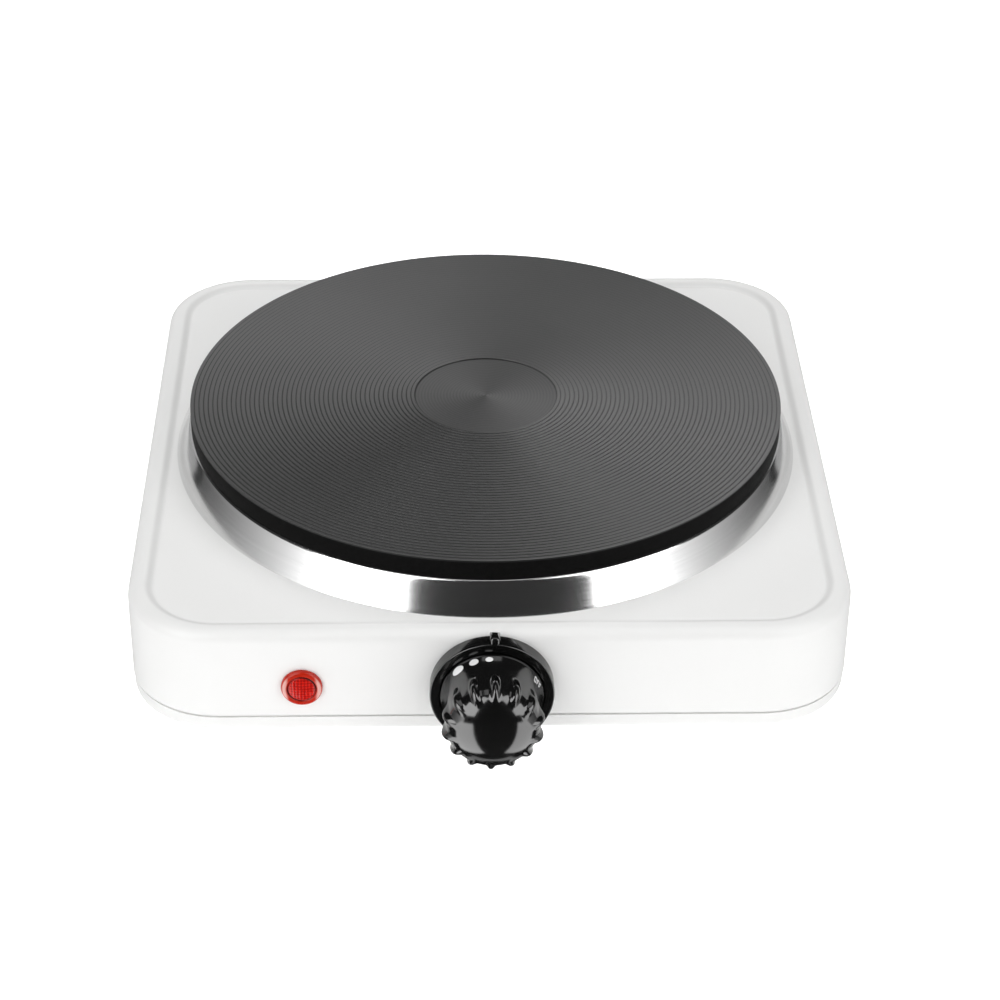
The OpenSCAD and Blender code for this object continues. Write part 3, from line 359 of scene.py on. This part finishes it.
# %% [markdown]
# ## Spill ring
#
# A ring of thin stainless sheet carries the plate above the enamel and keeps spilt water out. It is
# spun metal: a lip under the plate, a wall that slopes outwards like a cone, and a narrow flange on
# the panel. The slope matters to the eye, because it decides how much of the room the wall mirrors.
# A cone of no thickness would do for the camera, but the lip and the flange show the sheet's edge, so
# the profile goes down one side of the sheet and back up the other.

# %% Spill ring: a thin closed profile
RING_T, LIP_R = 0.5, 88.3             # the ring's sheet, and the inner edge of its lip
NECK_R, NECK_Z = 93.5, Z_RIM - 1.5    # where the wall starts, below the lip
FLARE, CURL, FALL = 3.6, 0.2, 8.25    # how far it goes out, curls further out, and comes down
wall = [(NECK_R + FLARE * t + CURL * t * t, NECK_Z - FALL * t)
        for t in (0, 0.15, 0.3, 0.45, 0.6, 0.75, 0.9, 1)]
lip = rounded((LIP_R, Z_RIM), (92.8, Z_RIM, 0.8), wall[0])
flange = [(97.4, Z_PANEL), (96.9, Z_PANEL)]
wall_back = [(r - RING_T, z - 0.1) for r, z in wall[::-1][1:]]
lip_back = [(92.3, Z_RIM - RING_T), (LIP_R, Z_RIM - RING_T), (LIP_R, Z_RIM)]
ring = turned("spill_ring_shell", lip + wall[1:] + flange + wall_back + lip_back, upright, 192)
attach(ring, "body")
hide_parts("spill_ring")

# %% [markdown]
# ## Bezel
#
# The bezel is a fixed black ring round the knob's skirt, moulded in one piece with its back disc and
# with the pointer that stands up at twelve o'clock. The ring is turned; the pointer is a small block
# with eased edges, joined to it. A block can't be turned, and a union of the two
# leaves one closed piece, as the mould does.


# %% Helper: two pieces made one
def joined(piece, other):
    """Unites another closed piece with this one and removes the other."""
    with_modifier(piece, "BOOLEAN", object=other, operation="UNION", solver="EXACT")
    bpy.data.objects.remove(other)


# %% Bezel: ring and pointer
BEZEL_R, BEZEL_IN, BEZEL_OUT = 18.0, 15.4, 4.5   # outer and inner radius, and its front
BACK_T = 1.2                     # its back disc
POINTER = (3.0, 4.1, 3.9)        # width, depth and height of the pointer's block
POINTER_OUT, POINTER_UP = 2.25, 17.95   # its middle, from the wall and above the knob's axis
LEAN = math.radians(-2.3)        # the pointer stands a little off the upright
bezel = turned("bezel_ring", rounded(
    (BUSH_R, 0), (BEZEL_R, 0), (BEZEL_R, BEZEL_OUT, 0.4), (BEZEL_IN, BEZEL_OUT, 0.1),
    (BEZEL_IN, BACK_T), (BUSH_R, BACK_T), (BUSH_R, 0)),
    on_front(0, Z_KNOB), 128)
nothing_selected()
bpy.ops.mesh.primitive_cube_add(
    size=1, location=(0, (-WALL - POINTER_OUT) * MM, (Z_KNOB + POINTER_UP) * MM),
    scale=[length * MM for length in POINTER])
pointer = bpy.context.object
bpy.ops.object.transform_apply(location=True, rotation=True, scale=True)
bpy.ops.object.mode_set(mode="EDIT")
pick(pointer, "EDGE", lambda e: all(
    v.co.z > (Z_KNOB + 18) * MM or v.co.y < -(WALL + 2) * MM for v in e.verts))
bpy.ops.mesh.bevel(offset=0.95 * MM, segments=5, affect="EDGES")
bpy.ops.mesh.select_all(action="SELECT")
bpy.ops.transform.rotate(value=LEAN, orient_axis="Y", center_override=(0, -WALL * MM, Z_KNOB * MM))
bpy.ops.object.mode_set(mode="OBJECT")
print("pointer leans to x", round(max(v.co.x for v in pointer.data.vertices) / MM, 2))
joined(bezel, pointer)
settle(bezel)
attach(bezel, "body")
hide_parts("bezel")

# %% [markdown]
# ## Knob
#
# The knob has a skirt inside the bezel, a flank that sweeps in to the grip, and fourteen ribs that
# grow out of the grip towards a domed face. The body is turned, with sixteen steps to each rib. The
# ribs could be rods set into it, but moulded ribs flow into the flank, so they are drawn out of it
# instead. The points that lie on the ribs, at one height and one distance from a rib's middle, are
# picked together and scaled away from the axis. The hollow back with its hub is in the same profile.

# %% Knob: turned body
RIBS, FIRST_RIB, RIB_STEPS = 14, 10.446, 16      # ribs, degrees to the first, steps of the spin to each
GRIP_R, SKIRT_R, SKIRT_BACK, SKIRT_OUT = 13.5, 15, 2.6, 4.7
DOME_OUT, DOME_H, SHAFT_END = 17.8, 8, 16.6      # where the dome starts, its height, the shaft's end
HOLLOW_R, HOLLOW_OUT, HUB_R, SHAFT_R = 11.2, 20.2, 5.6, 3.05
SWEEP, SWEEP_OUT, SWEEP_FADE = 1.5, 5.1, 3.4     # the skirt's sweep into the grip: width, start, length
flank = [(GRIP_R + SWEEP * math.exp((SWEEP_OUT - out) / SWEEP_FADE), out)
         for out in (5.1, 5.6, 6.2, 7, 8, 9.2, 10.6, 12, 13, 14, 15, 16, 17)]
arc = [math.radians(step) for step in (
    0, 4, 8, 12, 16, 20, 24, 28, 32, 36, 41, 46, 52, 58, 64, 70, 77, 84, 90)]
dome = [(GRIP_R * math.cos(t), DOME_OUT + DOME_H * math.sin(t)) for t in arc]
skirt = [(HOLLOW_R, SKIRT_BACK), (SKIRT_R - 0.1, SKIRT_BACK),
         (SKIRT_R, SKIRT_BACK + 0.1), (SKIRT_R, SKIRT_OUT)]
inside = [(0, SHAFT_END), (SHAFT_R, SHAFT_END), (SHAFT_R, SKIRT_OUT), (HUB_R, SKIRT_OUT),
          (HUB_R, HOLLOW_OUT), (HOLLOW_R, HOLLOW_OUT), (HOLLOW_R, SKIRT_BACK)]
knob = turned("knob_body", skirt + flank + dome + inside, on_front(0, Z_KNOB), RIB_STEPS * RIBS)


# %% Knob: ribs drawn out of the flank
def from_rib(point):
    """Steps between a point of the knob and the middle of the nearest rib."""
    angle = math.degrees(math.atan2(point.z - Z_KNOB * MM, point.x)) - FIRST_RIB
    pitch = 360 / RIBS
    return abs((angle + pitch / 2) % pitch - pitch / 2) * RIB_STEPS / pitch


def rib_points(out, radius, steps):
    """A test for the outer points of the knob at one height and at one distance from a rib's middle."""
    return lambda v: (
        near(-v.co.y / MM - WALL, out, 0.004) and near(from_rib(v.co), steps, 0.2)
        and near(math.hypot(v.co.x / MM, v.co.z / MM - Z_KNOB), radius, 0.05))


def eased(value):
    """0 below 0, 1 above 1, and a smooth rise between them."""
    value = max(0, min(1, value))
    return value ** 2 * (3 - 2 * value)


RIB_HEIGHT = 1.4
RIB_START, RIB_RISE = 12.2, 6    # where the ribs start on the flank, and the length of their rise
RIB_END, RIB_FALL = 20, 2.3      # where they start to end on the dome, and the length of their end
RIB_SHARES = {0.5: 1, 1.5: 0.88, 2.5: 0.48, 3.5: 0.14, 4.5: 0.02}   # of the height, by steps aside
nothing_selected()
knob.select_set(True)
bpy.context.view_layer.objects.active = knob
bpy.ops.object.mode_set(mode="EDIT")
moved = 0
for radius, out in flank[7:] + dome[:9]:
    grown = eased((out - RIB_START) / RIB_RISE)
    ended = math.sqrt(max(0, 1 - (max(0, out - RIB_END) / RIB_FALL) ** 2))
    for steps, share in RIB_SHARES.items():
        scale = 1 + RIB_HEIGHT * grown * ended * share / radius
        moved += pick(knob, "VERT", rib_points(out, radius, steps))
        bpy.ops.transform.resize(value=(scale, 1, scale), center_override=(0, 0, Z_KNOB * MM))
bpy.ops.mesh.select_all(action="SELECT")
bpy.ops.mesh.normals_make_consistent(inside=False)
bpy.ops.object.mode_set(mode="OBJECT")
print("points on the ribs:", moved)
settle(knob, 40)
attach(knob, "knob_set")
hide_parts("knob")

# %% [markdown]
# ## Pilot lamp
#
# The lens is a red button with a rim, moulded with a sleeve that passes through the wall. A groove
# parts the button from the rim. All of it is round, so it is one turned profile, from the rim's back
# over the front and down the inside of the sleeve. The button's facets are finer than a mesh needs to
# be here, so they are left to its finish.

# %% Lens: turned button
lens_front = rounded(
    (5, 0), (6, 0), (6, 0.95, 0.4), (5.3, 1.55, 0.3),       # rim
    (4.5, 1.5, 0.2), (4.1, 1.0, 0.2), (3.85, 1.5, 0.3),     # groove
    (2.3, 1.85, 0.6), (0, 2.0))                             # button
sleeve = [(0, 0.4), (4, 0.4), (4, -6), (5, -6), (5, 0)]
lens = turned("lamp_lens_button", lens_front + sleeve, on_front(LAMP_X, Z_LAMP), 96)
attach(lens, "body")
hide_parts("lamp_lens")

# %% [markdown]
# ## Finishes
#
# A finish is a small network of nodes. Its sums are written as plain expressions: a Signal wraps a
# socket, and adding or multiplying Signals adds the Math nodes. Every other node comes from one
# method, which takes the node's type, its settings and what goes into its sockets.


# %% Helpers: signals and finishes
class Signal:
    """One output socket of a finish. Sums on it add Math nodes."""

    def __init__(self, finish, socket):
        self.finish, self.socket = finish, socket

    def maths(self, operation, first, second):
        return self.finish.maths(operation, first, second)

    def __add__(self, other):
        return self.maths("ADD", self, other)

    def __radd__(self, other):
        return self.maths("ADD", other, self)

    def __sub__(self, other):
        return self.maths("SUBTRACT", self, other)

    def __rsub__(self, other):
        return self.maths("SUBTRACT", other, self)

    def __mul__(self, other):
        return self.maths("MULTIPLY", self, other)

    def __rmul__(self, other):
        return self.maths("MULTIPLY", other, self)

    def __truediv__(self, other):
        return self.maths("DIVIDE", self, other)


class Finish:
    """A material and its nodes."""

    def __init__(self, name):
        self.material = bpy.data.materials.new(name)
        self.material.use_nodes = True
        self.tree = self.material.node_tree
        self.tree.nodes.clear()
        self.place = self.node("ShaderNodeTexCoord", out="Object")

    def node(self, kind, settings=None, sockets=None, out=0):
        """Adds a node: its settings first, then the values or links of its sockets."""
        node = self.tree.nodes.new(kind)
        for name, value in (settings or {}).items():
            setattr(node, name, value)
        for name, value in (sockets or {}).items():
            if isinstance(value, Signal):
                self.tree.links.new(value.socket, node.inputs[name])
            else:
                node.inputs[name].default_value = value
        return Signal(self, node.outputs[out])

    def maths(self, operation, *values):
        return self.node("ShaderNodeMath", {"operation": operation}, dict(enumerate(values)))

    def parts(self, place=None):
        """X, Y and Z of a place, in metres."""
        x = self.node("ShaderNodeSeparateXYZ", None, {"Vector": place or self.place}, out="X")
        return x, *(Signal(self, x.socket.node.outputs[name]) for name in "YZ")

    def noise(self, scale, detail=2.0, place=None):
        return self.node("ShaderNodeTexNoise", None, {
            "Vector": place or self.place, "Scale": scale, "Detail": detail})

    def between(self, low, high, signal):
        """0 below low, 1 above high, and a smooth step between them."""
        return self.node("ShaderNodeMapRange", {"interpolation_type": "SMOOTHSTEP"}, {
            "Value": signal, "From Min": low, "From Max": high})

    def mix(self, amount, first, second):
        return self.node("ShaderNodeMix", {"data_type": "RGBA"}, {0: amount, 6: first, 7: second}, out=2)

    def bump(self, height, distance, strength=1.0):
        return self.node("ShaderNodeBump", None, {
            "Height": height, "Distance": distance, "Strength": strength})

    def shader(self, **sockets):
        """A Principled shader. Socket names are written with _ for a space."""
        named = {name.replace("_", " "): value for name, value in sockets.items()}
        return self.node("ShaderNodeBsdfPrincipled", None, named)

    def ended(self, shader):
        """Ends the finish in a shader and gives its material."""
        end = self.tree.nodes.new("ShaderNodeOutputMaterial")
        self.tree.links.new(shader.socket, end.inputs["Surface"])
        return self.material

    def surface(self, **sockets):
        return self.ended(self.shader(**sockets))


def grey(value):
    """A colour whose three parts are alike."""
    return (value, value, value, 1)


# %% [markdown]
# ## White enamel
#
# Enamel is glass melted on to steel: white, glossy but softly so, and never quite even. A plain white
# looks like paper, so its tone drifts slowly, and a fine ripple breaks its gloss. Less light reaches
# the foot of the step round the panel. A soft shade is laid there, worked out from the distance to
# the nearest wall, because a groove this shallow hardly darkens under so broad a light.


# %% White enamel
def white_enamel():
    f = Finish("white_enamel")
    tone = f.noise(14, 3)
    ripple = f.noise(380, 2)
    x, y, height = f.parts()
    across, along = (f.maths("ABSOLUTE", side) * 1000 - (WALL - CORNER_R) for side in (x, y))
    past_x, past_y = (f.maths("MAXIMUM", side, 0) for side in (across, along))
    reach = f.maths("SQRT", past_x * past_x + past_y * past_y)
    inwards = CORNER_R - reach - f.maths("MINIMUM", f.maths("MAXIMUM", across, along), 0)
    # The shade comes over the step and goes over the groove, in millimetres from the wall, and it
    # lies on the top alone, above 41.5 mm.
    foot = f.between(4.6, 6.1, inwards) * (1 - f.between(6.3, 8.2, inwards))
    shade = foot * f.between(0.0415, 0.042, height) * 0.145
    white = f.mix(tone, (0.80, 0.80, 0.79, 1), (0.84, 0.84, 0.835, 1))
    return f.surface(
        Base_Color=f.mix(shade, white, grey(0.0)),
        Roughness=0.36 + tone * 0.08,
        Normal=f.bump(ripple, 0.00002, 0.4),
        Specular_IOR_Level=0.35)


# %% [markdown]
# ## Cast iron
#
# The plate's face is bare turned iron, grey and satin. The tool's marks run round the plate, so a real
# one shines in two fans that follow the light. An anisotropic shader could do that, but its
# strength can't vary over the face, so here the two fans are a painted sheen: a lighter colour that
# follows the angle round the plate. It stays fixed to the plate, which is its weakness. The grooves
# between the ridges are painted darker as painted shade, and the painted sheen lightens them most on
# the right. The rim below the face is black and matt and must mirror next to nothing, so it has a
# shader of its own, and the height of the surface chooses between them.


# %% Cast iron
def cast_iron():
    f = Finish("cast_iron")
    x, y, height = f.parts()
    flat = f.node("ShaderNodeVectorMath", {"operation": "MULTIPLY"}, {0: f.place, 1: (1000, 1000, 0)})
    radius = f.node("ShaderNodeVectorMath", {"operation": "LENGTH"}, {0: flat}, out="Value")
    angle = f.maths("ARCTAN2", y, x)
    sideways = f.maths("COSINE", angle)
    turning = f.noise(3.2, 2, f.node("ShaderNodeCombineXYZ", None, {"X": radius}))
    grain = f.noise(900, 3)
    cloud = f.noise(22, 3)
    turned_face = f.between(Z_TOP * MM - 0.0009, Z_TOP * MM - 0.0005, height)
    crest = f.between((Z_TOP - RIDGE_DEPTH) * MM, (Z_TOP - RIDGE_DEPTH * 0.6) * MM, height)
    disc = 1 - f.between(DISC_R - 0.4, DISC_R, radius)
    # Painted sheen: lighter fans across the face and a lighter right side, fixed to the angle round the
    # plate.
    painted_sheen = f.maths("COSINE", angle * 2 + 0.9) * 0.41 + sideways * 0.20 + f.maths("SINE", angle) * 0.08
    rings = f.maths("SINE", radius * 6.3) * 0.5 + 0.5
    # The crests' colour: a random cloud, a darker disc with its turning rings, and the painted sheen, half as
    # strong on the disc.
    tone = 1.04 + painted_sheen * (1 - disc * 0.5) + cloud * 0.2 - disc * (0.1 + rings * 0.16)
    # Painted shade in the grooves: darkest in front and behind, lightened by painted sheen most on the right,
    # less on the left.
    groove = f.mix(sideways * sideways * (sideways * 0.35 + 0.65), grey(0.012), grey(0.09))
    turned_iron = f.mix(f.maths("MAXIMUM", crest, disc), groove, f.mix(tone * 0.5, grey(0.0), grey(0.2)))
    face = f.shader(
        Base_Color=turned_iron, Metallic=0.25,
        Roughness=0.40 + grain * 0.12,
        Specular_IOR_Level=0.18,
        Normal=f.bump(turning * (0.3 + disc * 0.9) + grain * 0.25, 0.00004, 0.6))
    rim = f.shader(
        Base_Color=f.mix(grain, grey(0.002), grey(0.006)),
        Roughness=0.40 + grain * 0.2,
        Specular_IOR_Level=0.03,
        Normal=f.bump(grain, 0.00004, 0.6))
    return f.ended(f.node("ShaderNodeMixShader", None, {0: turned_face, 1: rim, 2: face}))


# %% [markdown]
# ## Stainless steel
#
# The spill ring is polished on the lathe, so what little brushing is left runs round it. The noise is
# stretched into thin level bands, and it moves the colour, the roughness and the bump together.


# %% Stainless
def stainless():
    f = Finish("stainless")
    band = f.node("ShaderNodeVectorMath", {"operation": "MULTIPLY"}, {0: f.place, 1: (12, 12, 2500)})
    brushed = f.noise(1.0, 3, band)
    return f.surface(
        Base_Color=f.mix(brushed, grey(0.72), grey(0.80)),
        Metallic=1.0,
        Roughness=0.10 + brushed * 0.08,
        Normal=f.bump(brushed, 0.00001, 0.3))


# %% [markdown]
# ## Black mouldings
#
# The knob and the bezel are glossy black plastic, which shows only what it mirrors, and a slight flow
# in the gloss tells it from glass. The knob's skirt is printed white with three dots and the word
# OFF. Letters could be pieces of mesh, but print has no thickness, so bars and ellipses are worked
# out on the skirt in the finish, by the angle round the axis and the distance from the wall.


# %% Black gloss moulding
# A stroke of a letter: its middle and half its width, in degrees, and its two ends, from the wall
STROKES = {
    "left": (0, 0.5, 6.0, 7.8), "right": (3, 0.5, 6.0, 7.8), "top": (1.5, 1.8, 5.9, 6.3),
    "middle": (1.3, 1.5, 6.8, 7.1), "foot": (1.5, 1.8, 7.5, 7.9)}


def black_gloss(marked=False):
    """Gloss black. On the knob, white dots and the word OFF are printed on the sweep of the skirt."""
    f = Finish("black_gloss_marked" if marked else "black_gloss")
    flow = f.noise(120, 3)
    black = f.mix(flow, grey(0.002), grey(0.004))
    return f.surface(
        Base_Color=f.mix(marks(f), black, grey(0.85)) if marked else black,
        Roughness=0.10 + flow * 0.06,
        Specular_IOR_Level=1.0,
        Normal=f.bump(flow, 0.00002, 0.3))


def marks(f):
    """1 where the knob's skirt is printed. Runs along the skirt are in degrees clockwise from its top."""
    x, y, z = f.parts()
    turned_by = f.maths("ARCTAN2", x, z - Z_KNOB * MM) * (180 / math.pi)
    out = y * -1000 - WALL

    def bar(middle, half, low, high):
        along = f.maths("COMPARE", turned_by, middle, half)
        return along * f.maths("COMPARE", out, (low + high) / 2, (high - low) / 2)

    printed = 0
    for middle, half, tall in ((-3.7, 4.3, 0.8), (-21.6, 5.6, 1.0), (-43, 8, 1.2)):
        across, along = (out - 6.5) / tall, (turned_by - middle) / half
        printed = printed + f.maths("LESS_THAN", across * across + along * along, 1)
    for start, letter in ((57, "left right top foot"), (62.5, "left top middle"), (67.5, "left top middle")):
        for stroke in letter.split():
            shift, half, low, high = STROKES[stroke]
            printed = printed + bar(start + shift, half, low, high)
    return f.maths("MINIMUM", printed, 1)


# %% [markdown]
# ## Red lens
#
# The lens is clear red plastic with fine facets inside and a groove where the button meets the rim. A
# true glass shader would need the lamp behind it and much patience to render, so the facets are a
# checked pattern that drives both colour and bump, its lighter and darker red cells being painted
# light. The groove is painted dark as painted shade, most in two arcs at upper right and lower left,
# and the rim's paler left and right sides are a painted highlight, where it would mirror the soft
# boxes. The groove and the pale sides are masks by distance from the lens's axis.


# %% Red lens
def red_lens():
    """Red moulding: a faceted button with painted light on its facets, painted shade in the groove round it,
    and a painted highlight at each side of the rim.
    """
    f = Finish("red_lens")
    centred = f.node("ShaderNodeMapping", None, {
        "Vector": f.place, "Location": (-LAMP_X * MM, 0, -Z_LAMP * MM)})
    x, _, z = f.parts(centred)
    x, z = x * 1000, z * 1000
    radius = f.maths("SQRT", x * x + z * z)
    button = 1 - f.between(3.8, 4.1, radius)
    diagonal = x * z * 2 / (radius * radius)
    # Painted shade: the groove is darkened, most in the arcs at upper right and lower left.
    groove = (f.between(3.7, 4.0, radius) * (1 - f.between(4.15, 4.5, radius))
              * (f.between(-0.9, 0.5, diagonal) * 0.6 + 0.4))
    checks = f.maths("SINE", (x + z) * 3.4) * f.maths("SINE", (x - z) * 3.4)
    facets = checks + f.noise(900, 2) * 1.6 - 0.8
    # Painted highlight: the rim is paler at its left and right sides, where it would mirror the soft boxes.
    side = (f.between(3.6, 4.8, f.maths("ABSOLUTE", x)) * f.between(4.4, 4.8, radius)
            * (1 - f.between(5.5, 5.8, radius)))
    rim = f.mix(side, (0.46, 0.018, 0.006, 1), (0.72, 0.38, 0.34, 1))
    # Painted light: the facets alternate between a shaded dark red and a lit bright red.
    lit = f.mix(f.between(-0.8, 0.9, facets), (0.30, 0.002, 0.001, 1), (0.62, 0.012, 0.006, 1))
    colour = f.mix(groove, f.mix(button, rim, lit), (0.06, 0.001, 0.001, 1))
    return f.surface(
        Base_Color=colour, Roughness=0.16 + groove * 0.3,
        Specular_IOR_Level=0.25,
        Normal=f.bump(facets * button, 0.0001, 0.35))


# %% [markdown]
# ## Finishes of the other solids
#
# Steel, brass, rubber, ceramic and the leads' sleeves lie inside or below, where one seldom looks
# closely. They share one finish with a grain that moves its colour, roughness and bump, and differ in
# colours, gloss and the size of the grain.


# %% A plain finish with grain, for what lies inside or below
def plain(name, dark, light, metallic=0.0, roughness=0.4, scale=300, depth=0.00003, coat=0.0):
    """A finish whose colour and gloss follow one grain."""
    f = Finish(name)
    grain = f.noise(scale, 3)
    return f.surface(
        Base_Color=f.mix(grain, dark, light), Metallic=metallic,
        Roughness=roughness + grain * 0.12, Normal=f.bump(grain, depth, 0.6),
        Coat_Weight=coat)


FINISHES = {
    "white_enamel": white_enamel(),
    "cast_iron": cast_iron(),
    "stainless": stainless(),
    "black_gloss": black_gloss(),
    "black_gloss_marked": black_gloss(True),
    "red_lens": red_lens(),
    "foot_rubber": plain("foot_rubber", grey(0.02), grey(0.035), roughness=0.65),
    "zinc_steel": plain("zinc_steel", (0.50, 0.51, 0.52, 1), (0.66, 0.67, 0.66, 1), 1.0, 0.28, 500),
    "resistance_wire": plain("resistance_wire", (0.10, 0.07, 0.05, 1), (0.20, 0.14, 0.10, 1), 0.8, 0.45, 900),
    "magnesia": plain("magnesia", grey(0.60), grey(0.75), roughness=0.8, scale=700, depth=0.0001),
    "cover_steel": plain("cover_steel", grey(0.34), grey(0.46), 1.0, 0.38, 260),
    "aluminium_sheet": plain("aluminium_sheet", grey(0.66), grey(0.76), 1.0, 0.30, 200),
    "white_ceramic": plain(
        "white_ceramic", (0.72, 0.70, 0.65, 1), (0.82, 0.80, 0.76, 1), roughness=0.3, coat=0.5),
    "brass": plain("brass", (0.55, 0.38, 0.14, 1), (0.70, 0.50, 0.20, 1), 1.0, 0.25, 400),
    "bimetal": plain("bimetal", (0.42, 0.36, 0.30, 1), (0.55, 0.48, 0.40, 1), 1.0, 0.32, 400),
    "natural_nylon": plain("natural_nylon", (0.68, 0.66, 0.58, 1), (0.76, 0.74, 0.66, 1), roughness=0.4),
    "clear_glass": plain(
        "clear_glass", (0.80, 0.50, 0.32, 1), (0.88, 0.60, 0.40, 1), roughness=0.05, coat=1.0),
    "resistor_tan": plain("resistor_tan", (0.50, 0.34, 0.20, 1), (0.60, 0.42, 0.26, 1), roughness=0.4),
    "black_matt": plain("black_matt", grey(0.018), grey(0.03), roughness=0.5),
    "brown_sleeve": plain("brown_sleeve", (0.10, 0.035, 0.015, 1), (0.14, 0.05, 0.02, 1), roughness=0.45),
    "black_sleeve": plain("black_sleeve", grey(0.012), grey(0.02), roughness=0.45),
    "blue_sleeve": plain("blue_sleeve", (0.01, 0.06, 0.30, 1), (0.02, 0.09, 0.38, 1), roughness=0.45),
    "green_sleeve": plain("green_sleeve", (0.20, 0.36, 0.02, 1), (0.32, 0.46, 0.03, 1), roughness=0.45),
    "white_sleeve": plain("white_sleeve", grey(0.66), grey(0.74), roughness=0.45),
}


# %% Put the finishes on the pieces and on the solids that stay
def dress(piece, finish):
    """Gives a piece one finish all over."""
    piece.data.materials.clear()
    piece.data.materials.append(FINISHES[finish])


for piece, finish in ((housing, "white_enamel"), (plate, "cast_iron"), (ring, "stainless"),
                      (bezel, "black_gloss"), (knob, "black_gloss_marked"), (lens, "red_lens")):
    dress(piece, finish)
for row in frame["record"]["subparts"]:
    solid = frame["nodes"][row["node"]]
    for place in solid.material_slots:
        place.material = FINISHES[row["material_slot"]]
print("finishes:", len(FINISHES))

# %% [markdown]
# ## Floor and light
#
# The hot plate stands on a white table between two tall soft boxes, one on each side of the camera,
# with a broad soft light above. A white object wants an even, bright room, while black plastic and
# polished steel show whatever stands round them, so the studio is built twice. The matt finishes and
# the camera meet a white floor and plain area lights. The mirrors meet a polished sheet just under
# the floor, which shows them the boxes once more, a white front on each box, a canopy above, a grey
# backdrop behind, and a curtain at each side, which keeps the dark horizon out of the spill ring.
# Round it all is a pale room that only the camera sees, a little darker at the horizon, so that the
# white housing stands out in a low view.


# %% Floor, the polish that mirrors see, and the pale room
def only_for(piece, camera=False, mirrors=False, diffuse=False):
    """Which rays meet a piece of the studio: the camera's, and those from glossy or matt finishes."""
    piece.visible_camera, piece.visible_glossy, piece.visible_diffuse = camera, mirrors, diffuse
    piece.visible_shadow = piece.visible_transmission = camera and diffuse


def studio_plane(name, size, place=(0, 0, 0), facing=None):
    """A plane of the studio, turned towards a point if one is given."""
    nothing_selected()
    bpy.ops.mesh.primitive_plane_add(size=1, location=place)
    plane = bpy.context.object
    plane.name = name
    plane.scale = (size[0], size[1], 1)
    if facing is not None:
        plane.rotation_euler = (Vector(facing) - Vector(place)).to_track_quat("Z", "Y").to_euler()
    return plane


floor = studio_plane("pale_floor", (8, 8))
pale = Finish("pale_floor")
floor.data.materials.append(pale.surface(
    Base_Color=pale.mix(pale.noise(6, 2), grey(0.90), grey(0.92)), Roughness=0.9,
    Emission_Color=grey(1.0), Emission_Strength=0.75))
only_for(floor, camera=True, diffuse=True)
ROOM_R, HAZE = 6, 1.6     # the room, and the height up to which it grows lighter, in metres
nothing_selected()
bpy.ops.mesh.primitive_uv_sphere_add(segments=48, ring_count=24, radius=ROOM_R)
room = bpy.context.object
room.name = "pale_room"
air = Finish("pale_room")
rising = air.between(0, HAZE, air.parts()[2])
room.data.materials.append(air.surface(
    Base_Color=grey(0.0), Emission_Color=air.mix(rising, grey(0.78), grey(1.0)), Emission_Strength=1.0))
only_for(room, camera=True)
polish = studio_plane("table_polish", (8, 8), (0, 0, -0.002))
sheen = Finish("table_polish")
polish.data.materials.append(sheen.surface(
    Base_Color=sheen.mix(sheen.noise(3, 2), grey(0.78), grey(0.82)), Metallic=1.0, Roughness=0.05))
only_for(polish, mirrors=True)
print("floor, room and polish are in place")

# %% Soft boxes, overhead light, backdrop and curtains
WORLD_LIGHT, BOX_AWAY = 0.03, 1.3   # strength of the world's light; distance of the soft boxes, in metres
world = bpy.data.worlds.new("studio")
bpy.context.scene.world = world
world.use_nodes = True
world.node_tree.nodes["Background"].inputs["Color"].default_value = (1, 1, 1, 1)
world.node_tree.nodes["Background"].inputs["Strength"].default_value = WORLD_LIGHT
bpy.context.scene.view_settings.view_transform = "Standard"


def around(azimuth, elevation, distance):
    """A place seen from the hot plate: azimuth from the front, to the right, and height above the horizon."""
    a, e = math.radians(azimuth), math.radians(elevation)
    return Vector((math.sin(a) * math.cos(e), -math.cos(a) * math.cos(e), math.sin(e))) * distance


def soft_light(name, place, width, height, power):
    """An area light that looks at the hot plate, and that the mirrors don't see."""
    nothing_selected()
    bpy.ops.object.light_add(type="AREA", location=place)
    light = bpy.context.object
    light.name = name
    light.rotation_euler = (-Vector(place)).to_track_quat("-Z", "Y").to_euler()
    light.data.shape = "RECTANGLE"
    light.data.size, light.data.size_y, light.data.energy = width, height, power
    light.visible_glossy = False


def glowing(front, name, strength):
    """Gives a plane for the mirrors its glow."""
    cloth = Finish(name)
    front.data.materials.append(cloth.surface(
        Base_Color=grey(0.0), Emission_Color=grey(1.0), Emission_Strength=strength))
    only_for(front, mirrors=True)


def soft_box(name, azimuth, elevation, width, height, power, glow):
    """A light for matt finishes, and its white front for the mirrors."""
    place = around(azimuth, elevation, BOX_AWAY)
    soft_light(name, place, width, height, power)
    glowing(studio_plane(name + "_front", (width, height), place * 0.98, (0, 0, 0)), name + "_front", glow)


soft_box("left_box", -44, 34, 0.8, 1.3, 6.7, 3.9)
soft_box("right_box", 52, 34, 0.8, 1.3, 6.0, 3.3)
soft_light("overhead", (0, 0.4, 1.4), 1.4, 1.4, 16.9)
glowing(studio_plane("overhead_front", (1.0, 1.0), (0, 0.1, 1.6), (0, 0, 0)), "overhead_front", 0.9)
backdrop = studio_plane("grey_backdrop", (5, 1.4), (0, 2.0, 0.72))
backdrop.rotation_euler = (math.radians(90), 0, 0)
glowing(backdrop, "grey_backdrop", 0.45)
for side in (-1, 1):
    curtain = studio_plane("side_curtain", (1.8, 0.46), (side * 1.2, -0.2, 0.2), (0, -0.2, 0.2))
    linen = Finish("side_curtain")
    forwards = linen.parts()[0] * side
    curtain.data.materials.append(linen.surface(
        Base_Color=grey(0.0), Emission_Color=linen.maths("POWER", 30.0, forwards), Emission_Strength=0.6))
    only_for(curtain, mirrors=True)
